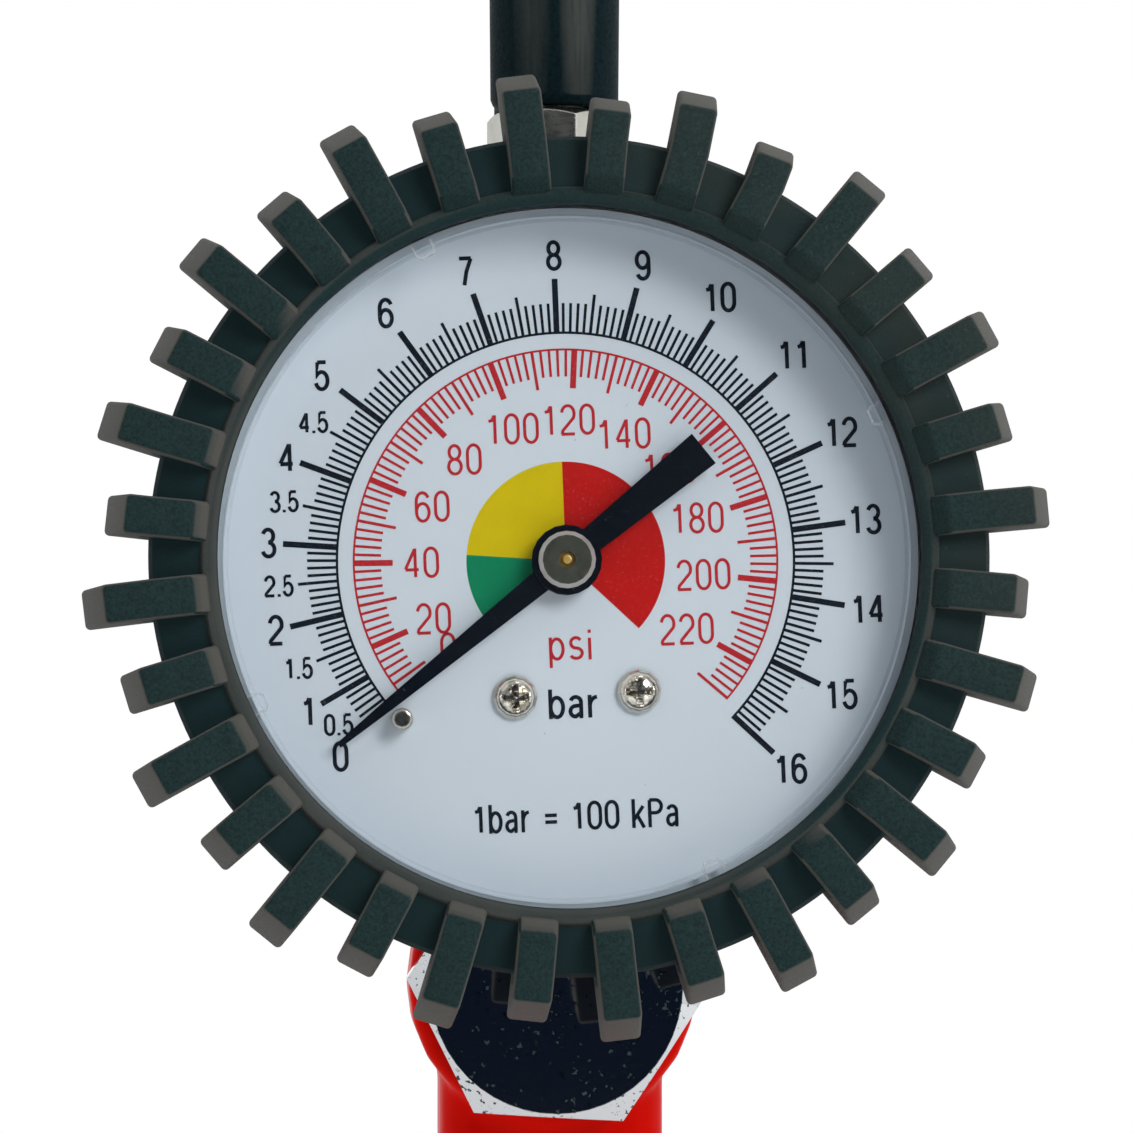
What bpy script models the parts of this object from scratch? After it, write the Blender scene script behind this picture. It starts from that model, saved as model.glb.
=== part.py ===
"""A hand-held tyre inflator with a pressure gauge, built as the separate pieces it comes apart into.

The dial faces -Y, X is to its reader's right and Z is up. The origin is the middle of the gauge
lens's outer face. Depth means distance behind that face, along +Y. Every dimension below is in
millimetres or degrees, and becomes metres or radians where a mesh or an object is made.
"""

import math

import bmesh
import bpy
from mathutils import Matrix, Vector

MM = 0.001
GAP = 0.3
COARSE, ROUND, FINE = 12, 20, 48  # sides of small, ordinary and large round pieces
CROSSING = 15  # sides of a passage that meets another, so that their corners don't line up
SHARP_ANGLE = math.radians(35)
RIGHT, BACK, UP = Vector((1, 0, 0)), Vector((0, 1, 0)), Vector((0, 0, 1))
FACING_FRONT = (math.pi / 2, 0, 0)  # local x right, local y up, local z towards the dial's reader
FACING_SIDE = (math.pi / 2, 0, math.pi / 2)  # local x to the rear, local y up, local z right

# Gauge: the whole instrument sits a little anticlockwise of upright, as its thread left it.
GAUGE_TURN = 2.3
WINDOW_R, LENS_R, LENS_FLANGE_DEPTH, LENS_THICK = 29.1, 31.0, 1.0, 1.8
CASE_R, CASE_WALL, CASE_BACK = 31.0, 1.0, 23.0
DIAL_R, DIAL_FRONT, SHEET = 29.6, 6.6, 0.6
BOOT_R, BOOT_LIP, BOOT_LIP_R, BOOT_BACK = 35.9, -1.5, 30.4, 22.0

# Boot fins: long and short in turn, wider and further out at the back than at the front.
FIN_COUNT, FIN_TURN = 32, 6.2
FIN_FRONT, FIN_BACK, FIN_FRONT_WIDTH, FIN_BACK_WIDTH = -3.2, 4.8, 3.3, 3.4
LONG_FIN_TIP, SHORT_FIN_TIP = (39.3, 41.4), (37.6, 39.5)  # radius at the front and at the back

# Pointer and dial furniture, in the dial's own frame. Angles are anticlockwise from its right.
POINTER_FRONT, POINTER_THICK, POINTER_REST = 4.6, 0.5, 216.9
POINTER_TIP, POINTER_TAIL, HUB_R, BUSH_R = 25.0, 15.1, 3.0, 2.45
STOP_PIN_R, STOP_PIN_SHANK_R, STOP_PIN_ANGLE, STOP_PIN_REACH = 0.95, 0.6, 221.8, 19.5
DIAL_SCREWS_AT, DIAL_SCREW_HEAD_R, SCREW_R = ((-4.8, -11.5), (5.8, -11.4)), 1.9, 0.95

# Movement: plates behind the dial, and a pinion driven by a sector gear that hangs below it.
PLATE_HALF, PLATE_TOP, PLATE_FOOT, PLATE_THICK = 8.0, 4.0, -14.5, 1.0
FRONT_PLATE, BACK_PLATE = 7.5, 14.6
SPINDLE_R, SPINDLE_TIP_R, ARBOR_R, ARBOR_BACK = 1.0, 0.4, 0.8, 15.3
PINION_TEETH, GEAR_RATIO, PINION_R = 12, 7, 1.5
SECTOR_R = PINION_R * GEAR_RATIO
SECTOR_Y = -(PINION_R + SECTOR_R)
SECTOR_FRONT, SECTOR_THICK, SECTOR_SWING = 10.0, 1.0, 37.6
TAIL_R, LINK_DEPTH, LINK_LENGTH, LINK_THICK = 4.5, 11.3, 15.5, 0.6
TUBE_R, TUBE_HALF_THICK, TUBE_FRONT, TUBE_WIDTH = 22.0, 1.3, 13.2, 6.0
TUBE_START, TUBE_END = 248.0, -38.0
TIP_TRAVEL = 2 * TAIL_R * math.sin(math.radians(SECTOR_SWING / 2))  # of the tube's end, at full scale
TIP_SWING_R = 12.0

# Socket block and its threaded stem, which screws into the front of the body.
SOCKET_FRONT, SOCKET_BACK, STEM_BOSS_R, STEM_THREAD_R, STEM_END = 15.9, 21.7, 7.0, 6.2, 37.0
STEM_FLATS, STEM_HEX_FRONT, STEM_HEX_BACK = 14.0, 23.6, 28.2
CASE_SCREW_X, CASE_SCREW_Y = 3.8, -17.0

# Body casting. BODY_Y is the depth of the hose, the handle and the air line.
BODY_Y, BODY_HALF_X, BODY_HALF_Y, BODY_CORNER = 44.0, 10.1, 9.0, 4.0
BODY_TOP, BODY_FOOT, NECK_R, FOOT_R = 34.0, -150.0, 8.5, 12.0
BODY_REAR = BODY_Y + BODY_HALF_Y
PAD_FRONT, PAD_R, GAUGE_PORT_R = 29.5, 9.5, 6.5
FITTING_PORT_R, FITTING_PORT_DEPTH = 5.2, 22.0

# Trigger valve, on an axis along Y below the gauge.
VALVE_Z, BOSS_R, BOSS_FRONT = -37.0, 13.0, 34.0
CHAMBER_R, SEAT_FRONT, SEAT_BACK, SEAT_R, GUIDE_BORE_R = 7.0, 43.5, 45.0, 3.5, 4.3
NUT_FLATS, NUT_TURN, NUT_FRONT, NUT_BACK, NUT_SPIGOT = 23.0, -3.3, 26.3, 32.8, 36.0
VALVE_STEM_R, POPPET_R = 2.0, 5.2

# Trigger: a channel of sheet steel, hung from a lug behind the body.
PIVOT_Y, PIVOT_Z, PIVOT_R, PIN_R = 59.5, -14.0, 5.0, 1.8
LUG_HALF, TRIGGER_HALF, TRIGGER_WALL = 5.2, 7.0, 1.5
WEB_AT_PIVOT, WEB_AT_VALVE, WEB_AT_TIP = 5.3, 5.8, 17.3  # the web's inner face, behind the pivot
TRIGGER_LENGTH, CHEEK_DEPTH = 120.0, 3.5

# Hose: up from the body, over in one bend and down to the chuck behind, a little to the right.
HOSE_R, HOSE_BORE_R, HOSE_BEND_Z, HOSE_BEND_R = 6.0, 3.9, 100.0, 50.0
FITTING_FLATS, FITTING_TURN, FITTING_HEX, FITTING_THREAD = 11.0, 45.6, 8.5, 12.0
BARB_R, BARB_LENGTH, AIR_R = 3.6, 15.0, 2.0
HOSE_START = BODY_TOP + FITTING_HEX + 2 * GAP

# Chuck: hangs on the far end of the hose, with its mouth down and its clip lever to the rear.
HOSE_X, CHUCK_X, CHUCK_Y = 0.5, 3.9, BODY_Y + 2 * HOSE_BEND_R
CHUCK_R, CHUCK_TOP, CHUCK_MOUTH, MOUTH_R, MOUTH_DEPTH = 8.0, -6.3, -62.0, 5.0, 16.0
HOSE_END = CHUCK_TOP + FITTING_HEX + 2 * GAP
CLIP_Y, CLIP_Z, CLIP_HALF, CLIP_PIN_R = 153.5, -48.0, 4.0, 1.4
CLIP_SPRING_Z, CLIP_SPRING_R = -24.0, 2.1

MATERIALS = {  # colour, roughness, metallic
    "boot_rubber": ((0.030, 0.038, 0.038), 0.75, 0.0),
    "hose_rubber": ((0.022, 0.024, 0.024), 0.55, 0.0),
    "clear_plastic": ((0.90, 0.93, 0.95), 0.05, 0.0),
    "dial_paint": ((0.62, 0.68, 0.74), 0.45, 0.0),
    "black_paint": ((0.012, 0.018, 0.026), 0.40, 0.0),
    "black_case": ((0.020, 0.020, 0.020), 0.45, 0.0),
    "nickel": ((0.62, 0.60, 0.54), 0.28, 1.0),
    "chrome": ((0.72, 0.73, 0.74), 0.10, 1.0),
    "brass": ((0.72, 0.52, 0.24), 0.32, 1.0),
    "bronze": ((0.60, 0.36, 0.20), 0.35, 1.0),
    "spring_steel": ((0.45, 0.45, 0.46), 0.30, 1.0),
    "red_paint": ((0.62, 0.025, 0.010), 0.35, 0.0),
    "red_fibre": ((0.35, 0.06, 0.04), 0.80, 0.0),
    "seal_rubber": ((0.018, 0.018, 0.018), 0.60, 0.0),
}


# --- Helpers -----------------------------------------------------------------------------------


def clear_scene():
    for thing in list(bpy.data.objects):
        bpy.data.objects.remove(thing, do_unlink=True)


def finish(name):
    """The named material, made on first use."""
    found = bpy.data.materials.get(name)
    if found:
        return found
    colour, roughness, metallic = MATERIALS[name]
    material = bpy.data.materials.new(name)
    material.use_nodes = True
    shader = material.node_tree.nodes["Principled BSDF"]
    shader.inputs["Base Color"].default_value = (*colour, 1.0)
    shader.inputs["Roughness"].default_value = roughness
    shader.inputs["Metallic"].default_value = metallic
    material.diffuse_color = (*colour, 1.0)
    return material


def place(name, mesh, material=None, at=(0, 0, 0), turn=(0, 0, 0), parent=None):
    """An object at a place in millimetres. With no material it is a hidden tool for a Boolean."""
    thing = bpy.data.objects.new(name, mesh)
    thing.location = Vector(at) * MM
    thing.rotation_euler = turn
    thing.parent = parent
    bpy.context.scene.collection.objects.link(thing)
    if material:
        mesh.materials.append(finish(material))
    else:
        thing.hide_render = True
        thing.display_type = "WIRE"
    return thing


def mesh_from(bm, name):
    bmesh.ops.remove_doubles(bm, verts=bm.verts, dist=1e-7)
    bmesh.ops.recalc_face_normals(bm, faces=bm.faces)
    mesh = bpy.data.meshes.new(name)
    bm.to_mesh(mesh)
    bm.free()
    mesh.shade_smooth()
    mesh.set_sharp_from_angle(angle=SHARP_ANGLE)
    return mesh


def turned_mesh(name, outline, steps=ROUND):
    """A solid turned about local z from (radius, height) points. An outline with a point on the
    axis runs from there back to the axis. Any other outline closes on itself, as for a ring."""
    bm = bmesh.new()
    points = [bm.verts.new((radius * MM, 0, height * MM)) for radius, height in outline]
    edges = [bm.edges.new(pair) for pair in zip(points, points[1:])]
    if outline[0][0] > 0:
        edges.append(bm.edges.new((points[-1], points[0])))
    bmesh.ops.spin(
        bm, geom=points + edges, cent=(0, 0, 0), axis=UP, angle=2 * math.pi, steps=steps, use_merge=True
    )
    bmesh.ops.remove_doubles(bm, verts=bm.verts, dist=1e-7)
    bmesh.ops.dissolve_verts(bm, verts=[point for point in bm.verts if is_flat_middle(point)])
    return mesh_from(bm, name)


def is_flat_middle(point):
    """Whether a point is the middle of a flat round end, which is better as one face."""
    on_axis = math.hypot(point.co.x, point.co.y) < 1e-7
    ends = [edge.other_vert(point) for edge in point.link_edges]
    return on_axis and all(abs(end.co.z - point.co.z) < 1e-7 for end in ends)


def prism_mesh(name, outline, low, high):
    """A flat outline of (x, y) points, extruded along local z from low to high."""
    bm = bmesh.new()
    face = bm.faces.new([bm.verts.new((x * MM, y * MM, low * MM)) for x, y in outline])
    grown = bmesh.ops.extrude_face_region(bm, geom=[face], use_keep_orig=True)
    moved = [part for part in grown["geom"] if isinstance(part, bmesh.types.BMVert)]
    bmesh.ops.translate(bm, verts=moved, vec=(0, 0, (high - low) * MM))
    return mesh_from(bm, name)


def lofted_mesh(name, rings):
    """A closed skin through rings of 3-D points, which all have the same number of points."""
    bm = bmesh.new()
    loops = [[bm.verts.new(Vector(point) * MM) for point in ring] for ring in rings]
    for lower, upper in zip(loops, loops[1:]):
        for i, point in enumerate(lower):
            bm.faces.new((point, lower[i - 1], upper[i - 1], upper[i]))
    bm.faces.new(loops[0])
    bm.faces.new(loops[-1])
    bmesh.ops.triangulate(bm, faces=bm.faces)
    return mesh_from(bm, name)


def wire_mesh(name, points, radius, sides=6):
    """A round rod along a path of 3-D points, with closed ends."""
    curve = bpy.data.curves.new(name, "CURVE")
    curve.dimensions = "3D"
    curve.bevel_depth = radius * MM
    curve.bevel_resolution = (sides - 4) // 2
    curve.use_fill_caps = True
    path = curve.splines.new("POLY")
    path.points.add(len(points) - 1)
    for knot, point in zip(path.points, points):
        knot.co = (*(Vector(point) * MM), 1)
    holder = bpy.data.objects.new(name, curve)
    bm = bmesh.new()
    bm.from_mesh(bpy.data.meshes.new_from_object(holder))
    bpy.data.objects.remove(holder)
    return mesh_from(bm, name)


def turned(name, outline, material=None, at=(0, 0, 0), axis=UP, steps=ROUND):
    """A turned piece whose heights run along a world axis."""
    turn = UP.rotation_difference(axis).to_euler()
    return place(name, turned_mesh(name, outline, steps), material, at, turn)


def rod(low, high, radius):
    """The outline of a plain round bar."""
    return [(0, low), (radius, low), (radius, high), (0, high)]


def ring(low, high, inner, outer):
    """The outline of a plain round ring."""
    return [(inner, low), (outer, low), (outer, high), (inner, high)]


def arc(radius, start, end, count, centre=(0, 0)):
    """Points on an arc, from one angle to another, ends included."""
    angles = [math.radians(start + (end - start) * i / (count - 1)) for i in range(count)]
    return [(centre[0] + radius * math.cos(a), centre[1] + radius * math.sin(a)) for a in angles]


def rounded_rectangle(half_x, half_y, corner, count=5):
    corners = [(1, 1, 0), (-1, 1, 90), (-1, -1, 180), (1, -1, 270)]
    points = []
    for side_x, side_y, start in corners:
        centre = (side_x * (half_x - corner), side_y * (half_y - corner))
        points += arc(corner, start, start + 90, count, centre)
    return points


def hexagon(across_flats, turn=0.0):
    """A hexagon whose first corner is at the given angle."""
    return arc(across_flats / math.sqrt(3), turn, turn + 300, 6)


def polar(radius, angle):
    return radius * math.cos(math.radians(angle)), radius * math.sin(math.radians(angle))


def combine(piece, tool, operation):
    change = piece.modifiers.new(f"{operation.lower()} {tool.name}", "BOOLEAN")
    change.operation = operation
    change.object = tool
    change.solver = "EXACT"


def drill(piece, start, end, radius, steps=ROUND):
    """A round hole from one point to another, in world millimetres."""
    along = Vector(end) - Vector(start)
    tool = turned(f"{piece.name}_drill", rod(0, along.length, radius), None, start, along, steps)
    combine(piece, tool, "DIFFERENCE")


def coil(radius, length, turns, per_turn=10):
    """Points of a helix about local z."""
    count = round(turns * per_turn)
    return [(*polar(radius, 360 * i / per_turn), length * i / count) for i in range(count + 1)]


# --- Gauge -------------------------------------------------------------------------------------


def gauge_frame():
    """The dial's own frame: x right, y up and z towards the reader, turned as the gauge is."""
    frame = bpy.data.objects.new("gauge_frame", None)
    frame.rotation_euler = (Matrix.Rotation(math.pi / 2, 3, "X") @ turn_matrix(GAUGE_TURN)).to_euler()
    bpy.context.scene.collection.objects.link(frame)
    return frame


def turn_matrix(angle):
    return Matrix.Rotation(math.radians(angle), 3, "Z")


def dial_turned(name, outline, material, frame, at=(0, 0), steps=ROUND):
    """A turned gauge piece from (radius, depth) points, with its axis at a point of the dial."""
    flipped = [(radius, -depth) for radius, depth in outline]
    return place(name, turned_mesh(name, flipped, steps), material, (*at, 0), parent=frame)


def dial_plate_piece(name, outline, front, thick, material, frame, at=(0, 0)):
    """A flat gauge piece whose front face is at the given depth."""
    mesh = prism_mesh(name, outline, -front - thick, -front)
    return place(name, mesh, material, (*at, 0), parent=frame)


def dial_drill(piece, at, front, back, radius, frame):
    tool = dial_turned(f"{piece.name}_drill", rod(front, back, radius), None, frame, at, COARSE)
    combine(piece, tool, "DIFFERENCE")


def gauge_lens(frame):
    back = LENS_FLANGE_DEPTH + LENS_THICK - CASE_WALL / 2
    outline = [
        (0, 0),
        (WINDOW_R, 0),
        (WINDOW_R, LENS_FLANGE_DEPTH),
        (LENS_R, LENS_FLANGE_DEPTH),
        (LENS_R, back),
        (WINDOW_R, back),
        (WINDOW_R - CASE_WALL, LENS_THICK),
        (0, LENS_THICK),
    ]
    dial_turned("gauge_lens", outline, "clear_plastic", frame, steps=FINE)


def gauge_case(frame):
    front = LENS_FLANGE_DEPTH + LENS_THICK - CASE_WALL / 2 + GAP
    inner = CASE_R - CASE_WALL
    outline = [
        (STEM_BOSS_R + GAP, CASE_BACK - CASE_WALL),
        (inner, CASE_BACK - CASE_WALL),
        (inner, front),
        (CASE_R, front),
        (CASE_R, CASE_BACK - CASE_WALL),
        (CASE_R - CASE_WALL, CASE_BACK),
        (STEM_BOSS_R + GAP, CASE_BACK),
    ]
    case = dial_turned("gauge_case", outline, "black_case", frame, steps=FINE)
    for side in (-1, 1):
        at = (side * CASE_SCREW_X, CASE_SCREW_Y)
        dial_drill(case, at, CASE_BACK - 2 * CASE_WALL, CASE_BACK + CASE_WALL, SCREW_R + GAP, frame)


def fin(bm, angle, tip):
    """One fin of the boot, with its side outline drawn at half its width to each side."""
    outline = [
        (30.2, 0.2),
        (30.2, -1.9),
        (31.2, FIN_FRONT),
        (tip[0], FIN_FRONT),
        (tip[1], FIN_BACK),
        (33.0, FIN_BACK),
        (33.0, 2.0),
        (31.8, 0.2),
    ]
    sides = []
    for side in (-1, 1):
        points = []
        for radius, depth in outline:
            share = (depth - FIN_FRONT) / (FIN_BACK - FIN_FRONT)
            half = (FIN_FRONT_WIDTH + share * (FIN_BACK_WIDTH - FIN_FRONT_WIDTH)) / 2
            point = turn_matrix(angle) @ Vector((radius, side * half, -depth))
            points.append(bm.verts.new(point * MM))
        sides.append(points)
    near, far = sides
    bm.faces.new(near)
    bm.faces.new(far)
    for i, point in enumerate(near):
        bm.faces.new((point, near[i - 1], far[i - 1], far[i]))


def gauge_boot():
    """The rubber boot: a sleeve with a lip over the lens's edge, and its fins."""
    inner = CASE_R + GAP
    lip_back = LENS_FLANGE_DEPTH - GAP
    outline = [
        (WINDOW_R + 0.4, lip_back),
        (WINDOW_R + 0.4, BOOT_LIP + GAP),
        (WINDOW_R + 0.7, BOOT_LIP),
        (BOOT_LIP_R, BOOT_LIP),
        (BOOT_LIP_R + 0.5, BOOT_LIP + 0.6),
        (BOOT_R - 1.6, BOOT_LIP + 1.3),
        (BOOT_R - 0.4, BOOT_LIP + 2.5),
        (BOOT_R, BOOT_BACK - 0.6),
        (BOOT_R - 0.6, BOOT_BACK),
        (inner, BOOT_BACK),
        (inner, lip_back),
    ]
    flipped = [(radius, -depth) for radius, depth in outline]
    boot = place(
        "gauge_boot", turned_mesh("gauge_boot", flipped, 2 * FIN_COUNT), "boot_rubber", turn=FACING_FRONT
    )
    bm = bmesh.new()
    for i in range(FIN_COUNT):
        tip = SHORT_FIN_TIP if i % 2 else LONG_FIN_TIP
        fin(bm, FIN_TURN + 360 * i / FIN_COUNT, tip)
    fins = place("gauge_boot_fins", mesh_from(bm, "gauge_boot_fins"), turn=FACING_FRONT)
    combine(boot, fins, "UNION")


def dial_plate(frame):
    outline = rod(DIAL_FRONT, DIAL_FRONT + SHEET, DIAL_R)
    dial = dial_turned("dial_plate", outline, "dial_paint", frame, steps=FINE)
    holes = [((0, 0), SPINDLE_R), (polar(STOP_PIN_REACH, STOP_PIN_ANGLE), STOP_PIN_SHANK_R)]
    holes += [(at, SCREW_R) for at in DIAL_SCREWS_AT]
    for at, radius in holes:
        dial_drill(dial, at, DIAL_FRONT - 1, DIAL_FRONT + SHEET + 1, radius + GAP, frame)


def cross_head_screw(name, at, head_front, head_high, head_r, length, frame, reach=1):
    """A pan-head screw. A reach of 1 runs it away from the dial's reader, and -1 towards them."""
    head = head_front + reach * head_high
    dome = [(share, 1 - math.sqrt(1 - share**2)) for share in (0, 0.35, 0.65, 0.87)]
    outline = [(head_r * share, head_front + reach * head_high * drop) for share, drop in dome]
    outline += [
        (head_r, head_front + reach * head_high * 0.8),
        (head_r, head),
        (SCREW_R, head),
        (SCREW_R, head + reach * length),
        (0, head + reach * length),
    ]
    screw = dial_turned(name, outline, "nickel", frame, at, COARSE)
    bar, tip = 0.3, head_r * 0.62
    cross = [(tip, bar), (bar, bar), (bar, tip), (-bar, tip), (-bar, bar), (-tip, bar)]
    cross += [(-x, -y) for x, y in cross]
    front, back = sorted((head_front - reach, head_front + reach * head_high * 0.6))
    slot = dial_plate_piece(f"{name}_slot", cross, front, back - front, None, frame, at)
    combine(screw, slot, "DIFFERENCE")


def dial_screws(frame):
    """Two long screws that hold the dial and both movement plates to the socket block."""
    for at, name in zip(DIAL_SCREWS_AT, ("dial_screw_left", "dial_screw_right")):
        cross_head_screw(name, at, 5.4, 0.9, DIAL_SCREW_HEAD_R, 13.0, frame)


def case_screws(frame):
    for side, name in ((-1, "case_screw_left"), (1, "case_screw_right")):
        at = (side * CASE_SCREW_X, CASE_SCREW_Y)
        cross_head_screw(name, at, CASE_BACK + GAP + 1.3, 1.3, 2.0, 4.0, frame, reach=-1)


def stop_pin(frame):
    front, flange, back, rim = POINTER_FRONT - 0.6, DIAL_FRONT - GAP, DIAL_FRONT + SHEET + GAP, 0.2
    outline = [
        (0, front),
        (STOP_PIN_R - rim, front),
        (STOP_PIN_R, front + rim),
        (STOP_PIN_R, flange),
        (STOP_PIN_SHANK_R, flange),
        (STOP_PIN_SHANK_R, back),
        (0, back),
    ]
    at = polar(STOP_PIN_REACH, STOP_PIN_ANGLE)
    dial_turned("stop_pin", outline, "nickel", frame, at, COARSE)


def pointer(frame):
    """The needle, drawn along local x and turned to its rest on the stop pin."""
    outline = [(POINTER_TIP, 0.25), (STOP_PIN_REACH, 0.5), (HUB_R, 1.0), (0, 1.1), (-HUB_R, 1.15)]
    outline.append((-POINTER_TAIL, 1.62))
    outline += [(x, -y) for x, y in reversed(outline)]
    front = POINTER_FRONT
    needle = dial_plate_piece("pointer", outline, front, POINTER_THICK, "black_paint", frame)
    needle.rotation_euler.z = math.radians(POINTER_REST)
    hub = dial_turned("pointer_hub", rod(front - GAP, front + 0.9, HUB_R), None, frame)
    combine(needle, hub, "UNION")
    dial_drill(needle, (0, 0), front - 2, front + 2, 1.3 + GAP, frame)


def pointer_bush(frame):
    """The turned bush that grips the spindle in the needle's hub."""
    bore, shank, rim = SPINDLE_TIP_R + GAP, 1.3, 0.35
    front, shoulder, back = POINTER_FRONT - 1.1, POINTER_FRONT - 0.5, POINTER_FRONT + 1.2
    outline = [(bore, front), (BUSH_R - rim, front), (BUSH_R, front + rim), (BUSH_R, shoulder)]
    outline += [(shank, shoulder), (shank, back), (bore, back)]
    dial_turned("pointer_bush", outline, "bronze", frame)


def gear_teeth(teeth, pitch_r, first, count):
    """Outline points of count teeth, starting with the tooth centred at the angle first."""
    depth, root_half, tip_half = 0.22, 0.20, 0.08
    points = []
    for i in range(count):
        middle = first + 360 * i / teeth
        for reach, half in ((-depth - 0.06, -root_half), (depth, -tip_half), (depth, tip_half)):
            radius = pitch_r + reach
            points.append(polar(radius, middle + math.degrees(half / radius)))
        radius = pitch_r - depth - 0.06
        points.append(polar(radius, middle + math.degrees(root_half / radius)))
    return points


def pointer_spindle(frame):
    """The spindle that carries the needle, with its pinion cut between the plates."""
    tip, step = POINTER_FRONT - 1.4, POINTER_FRONT + 1.6
    outline = [(0, tip), (SPINDLE_TIP_R, tip), (SPINDLE_TIP_R, step), (SPINDLE_R, step)]
    outline += [(SPINDLE_R, ARBOR_BACK), (0, ARBOR_BACK)]
    spindle = dial_turned("pointer_spindle", outline, "brass", frame, steps=COARSE)
    teeth = gear_teeth(PINION_TEETH, PINION_R, 0, PINION_TEETH)
    wide = SECTOR_THICK + 1.2
    pinion = dial_plate_piece("pinion", teeth, SECTOR_FRONT - 0.6, wide, None, frame)
    combine(spindle, pinion, "UNION")


def movement_plate(name, front, frame):
    half_high = (PLATE_TOP - PLATE_FOOT) / 2
    middle = (PLATE_TOP + PLATE_FOOT) / 2
    outline = [(x, y + middle) for x, y in rounded_rectangle(PLATE_HALF, half_high, 3.0, 4)]
    plate = dial_plate_piece(name, outline, front, PLATE_THICK, "brass", frame)
    holes = [((0, 0), SPINDLE_R), ((0, SECTOR_Y), ARBOR_R)]
    holes += [(at, SCREW_R) for at in DIAL_SCREWS_AT]
    for at, radius in holes:
        dial_drill(plate, at, front - 1, front + PLATE_THICK + 1, radius + GAP, frame)


def movement_pillars(frame):
    front, back = FRONT_PLATE + PLATE_THICK + GAP, BACK_PLATE - GAP
    for at, name in zip(DIAL_SCREWS_AT, ("movement_pillar_left", "movement_pillar_right")):
        dial_turned(name, ring(front, back, SCREW_R + GAP, 2.1), "brass", frame, at, COARSE)


def sector_gear(frame):
    """The toothed quadrant, at rest with its last teeth on the pinion, and its tail below."""
    pitch = 360 / (PINION_TEETH * GEAR_RATIO)
    count = 13
    first = 90 + 1.5 * pitch - (count - 1) * pitch
    rim = gear_teeth(PINION_TEETH * GEAR_RATIO, SECTOR_R, first, count)
    tail = 270 - SECTOR_SWING / 2
    tail_end = arc(1.5, tail - 90, tail + 90, 7, polar(TAIL_R, tail))
    hub = 2.2
    outline = rim + arc(SECTOR_R - 1.6, 96, 78, 3) + arc(hub, 100, 175, 4)
    outline += tail_end + arc(hub, 320, 410, 5) + arc(SECTOR_R - 1.6, 62, 44, 3)
    at = (0, SECTOR_Y)
    front = SECTOR_FRONT
    gear = dial_plate_piece("sector_gear", outline, front, SECTOR_THICK, "brass", frame, at)
    dial_drill(gear, at, front - 1, front + 2, ARBOR_R + GAP, frame)
    x, y = polar(TAIL_R, tail)
    dial_drill(gear, (x, y + SECTOR_Y), front - 1, front + 2, 0.5 + GAP, frame)


def sector_arbor(frame):
    """The pin the sector turns with, held in both plates."""
    front, collar, collar_back = FRONT_PLATE + GAP, SECTOR_FRONT + SECTOR_THICK + GAP, BACK_PLATE - 1
    outline = [(0, front), (ARBOR_R, front), (ARBOR_R, collar), (2 * ARBOR_R, collar)]
    outline += [(2 * ARBOR_R, collar_back), (ARBOR_R, collar_back), (ARBOR_R, ARBOR_BACK), (0, ARBOR_BACK)]
    dial_turned("sector_arbor", outline, "spring_steel", frame, (0, SECTOR_Y))


def hairspring(frame):
    """A flat spiral about the spindle, drawn as the outline of a thin strip."""
    turns, per_turn, start, grow, thick = 2.5, 16, 1.6, 1.1, 0.12
    count = round(turns * per_turn)
    spiral = [(start + grow * i / per_turn, 360 * i / per_turn) for i in range(count + 1)]
    outline = [polar(radius + thick, angle) for radius, angle in spiral]
    outline += [polar(radius, angle) for radius, angle in reversed(spiral)]
    dial_plate_piece("hairspring", outline, 12.6, 0.6, "bronze", frame)


def drive_link(frame):
    """The link from the sector's tail to the tube's end, with its tail pin. Its origin is that pin."""
    tail = 270 - SECTOR_SWING / 2
    x, y = polar(TAIL_R, tail)
    at = (x, y + SECTOR_Y)
    outline = arc(1.3, 90, 270, 7) + arc(1.3, -90, 90, 7, (LINK_LENGTH, 0))
    link = dial_plate_piece("drive_link", outline, LINK_DEPTH, LINK_THICK, "brass", frame, at)
    pin = dial_turned("drive_link_pin", rod(9.6, LINK_DEPTH + 0.4, 0.5), None, frame, at, COARSE)
    combine(link, pin, "UNION")
    dial_drill(link, (at[0] + LINK_LENGTH, at[1]), LINK_DEPTH - 1, LINK_DEPTH + 2, 0.8, frame)
    return at


def bourdon_tube(frame):
    """The flattened tube, bent to a C, that opens out as the pressure rises."""
    middle = TUBE_FRONT + TUBE_WIDTH / 2
    half_wide = TUBE_WIDTH / 2
    section = rounded_rectangle(TUBE_HALF_THICK, half_wide, TUBE_HALF_THICK - 0.1, 2)
    steps = 24
    rings = []
    for i in range(steps + 1):
        turn = turn_matrix(TUBE_START + (TUBE_END - TUBE_START) * i / steps)
        rings.append([turn @ Vector((TUBE_R + x, 0, y - middle)) for x, y in section])
    mesh = lofted_mesh("bourdon_tube", rings)
    place("bourdon_tube", mesh, "bronze", parent=frame)


def tube_end(frame, link_at):
    """The tip soldered to the tube's end, with the ear that the link pulls. Its origin is the
    point it swings about as the tube opens: above the middle of the ear's travel."""
    eye = Vector((link_at[0] + LINK_LENGTH, link_at[1]))
    tip = Vector(polar(TUBE_R, TUBE_END - 6.2))
    swing_at = eye + Vector((TIP_TRAVEL / 2, TIP_SWING_R))
    block = [tuple(tip - swing_at + Vector(point)) for point in arc(2.0, 0, 330, 12)]
    mesh = prism_mesh("tube_end", block, -TUBE_FRONT - 5.0, -TUBE_FRONT + 1.0)
    end = place("tube_end", mesh, "brass", (*swing_at, 0), parent=frame)
    along = (tip - eye).normalized() * 1.4
    across = Vector((-along.y, along.x))
    ear = [eye - across, tip - across, tip + across, eye + across, eye - along]
    front = LINK_DEPTH + LINK_THICK + GAP
    strap = dial_plate_piece("tube_end_ear", [tuple(p) for p in ear], front, 0.8, None, frame)
    combine(end, strap, "UNION")


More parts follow.
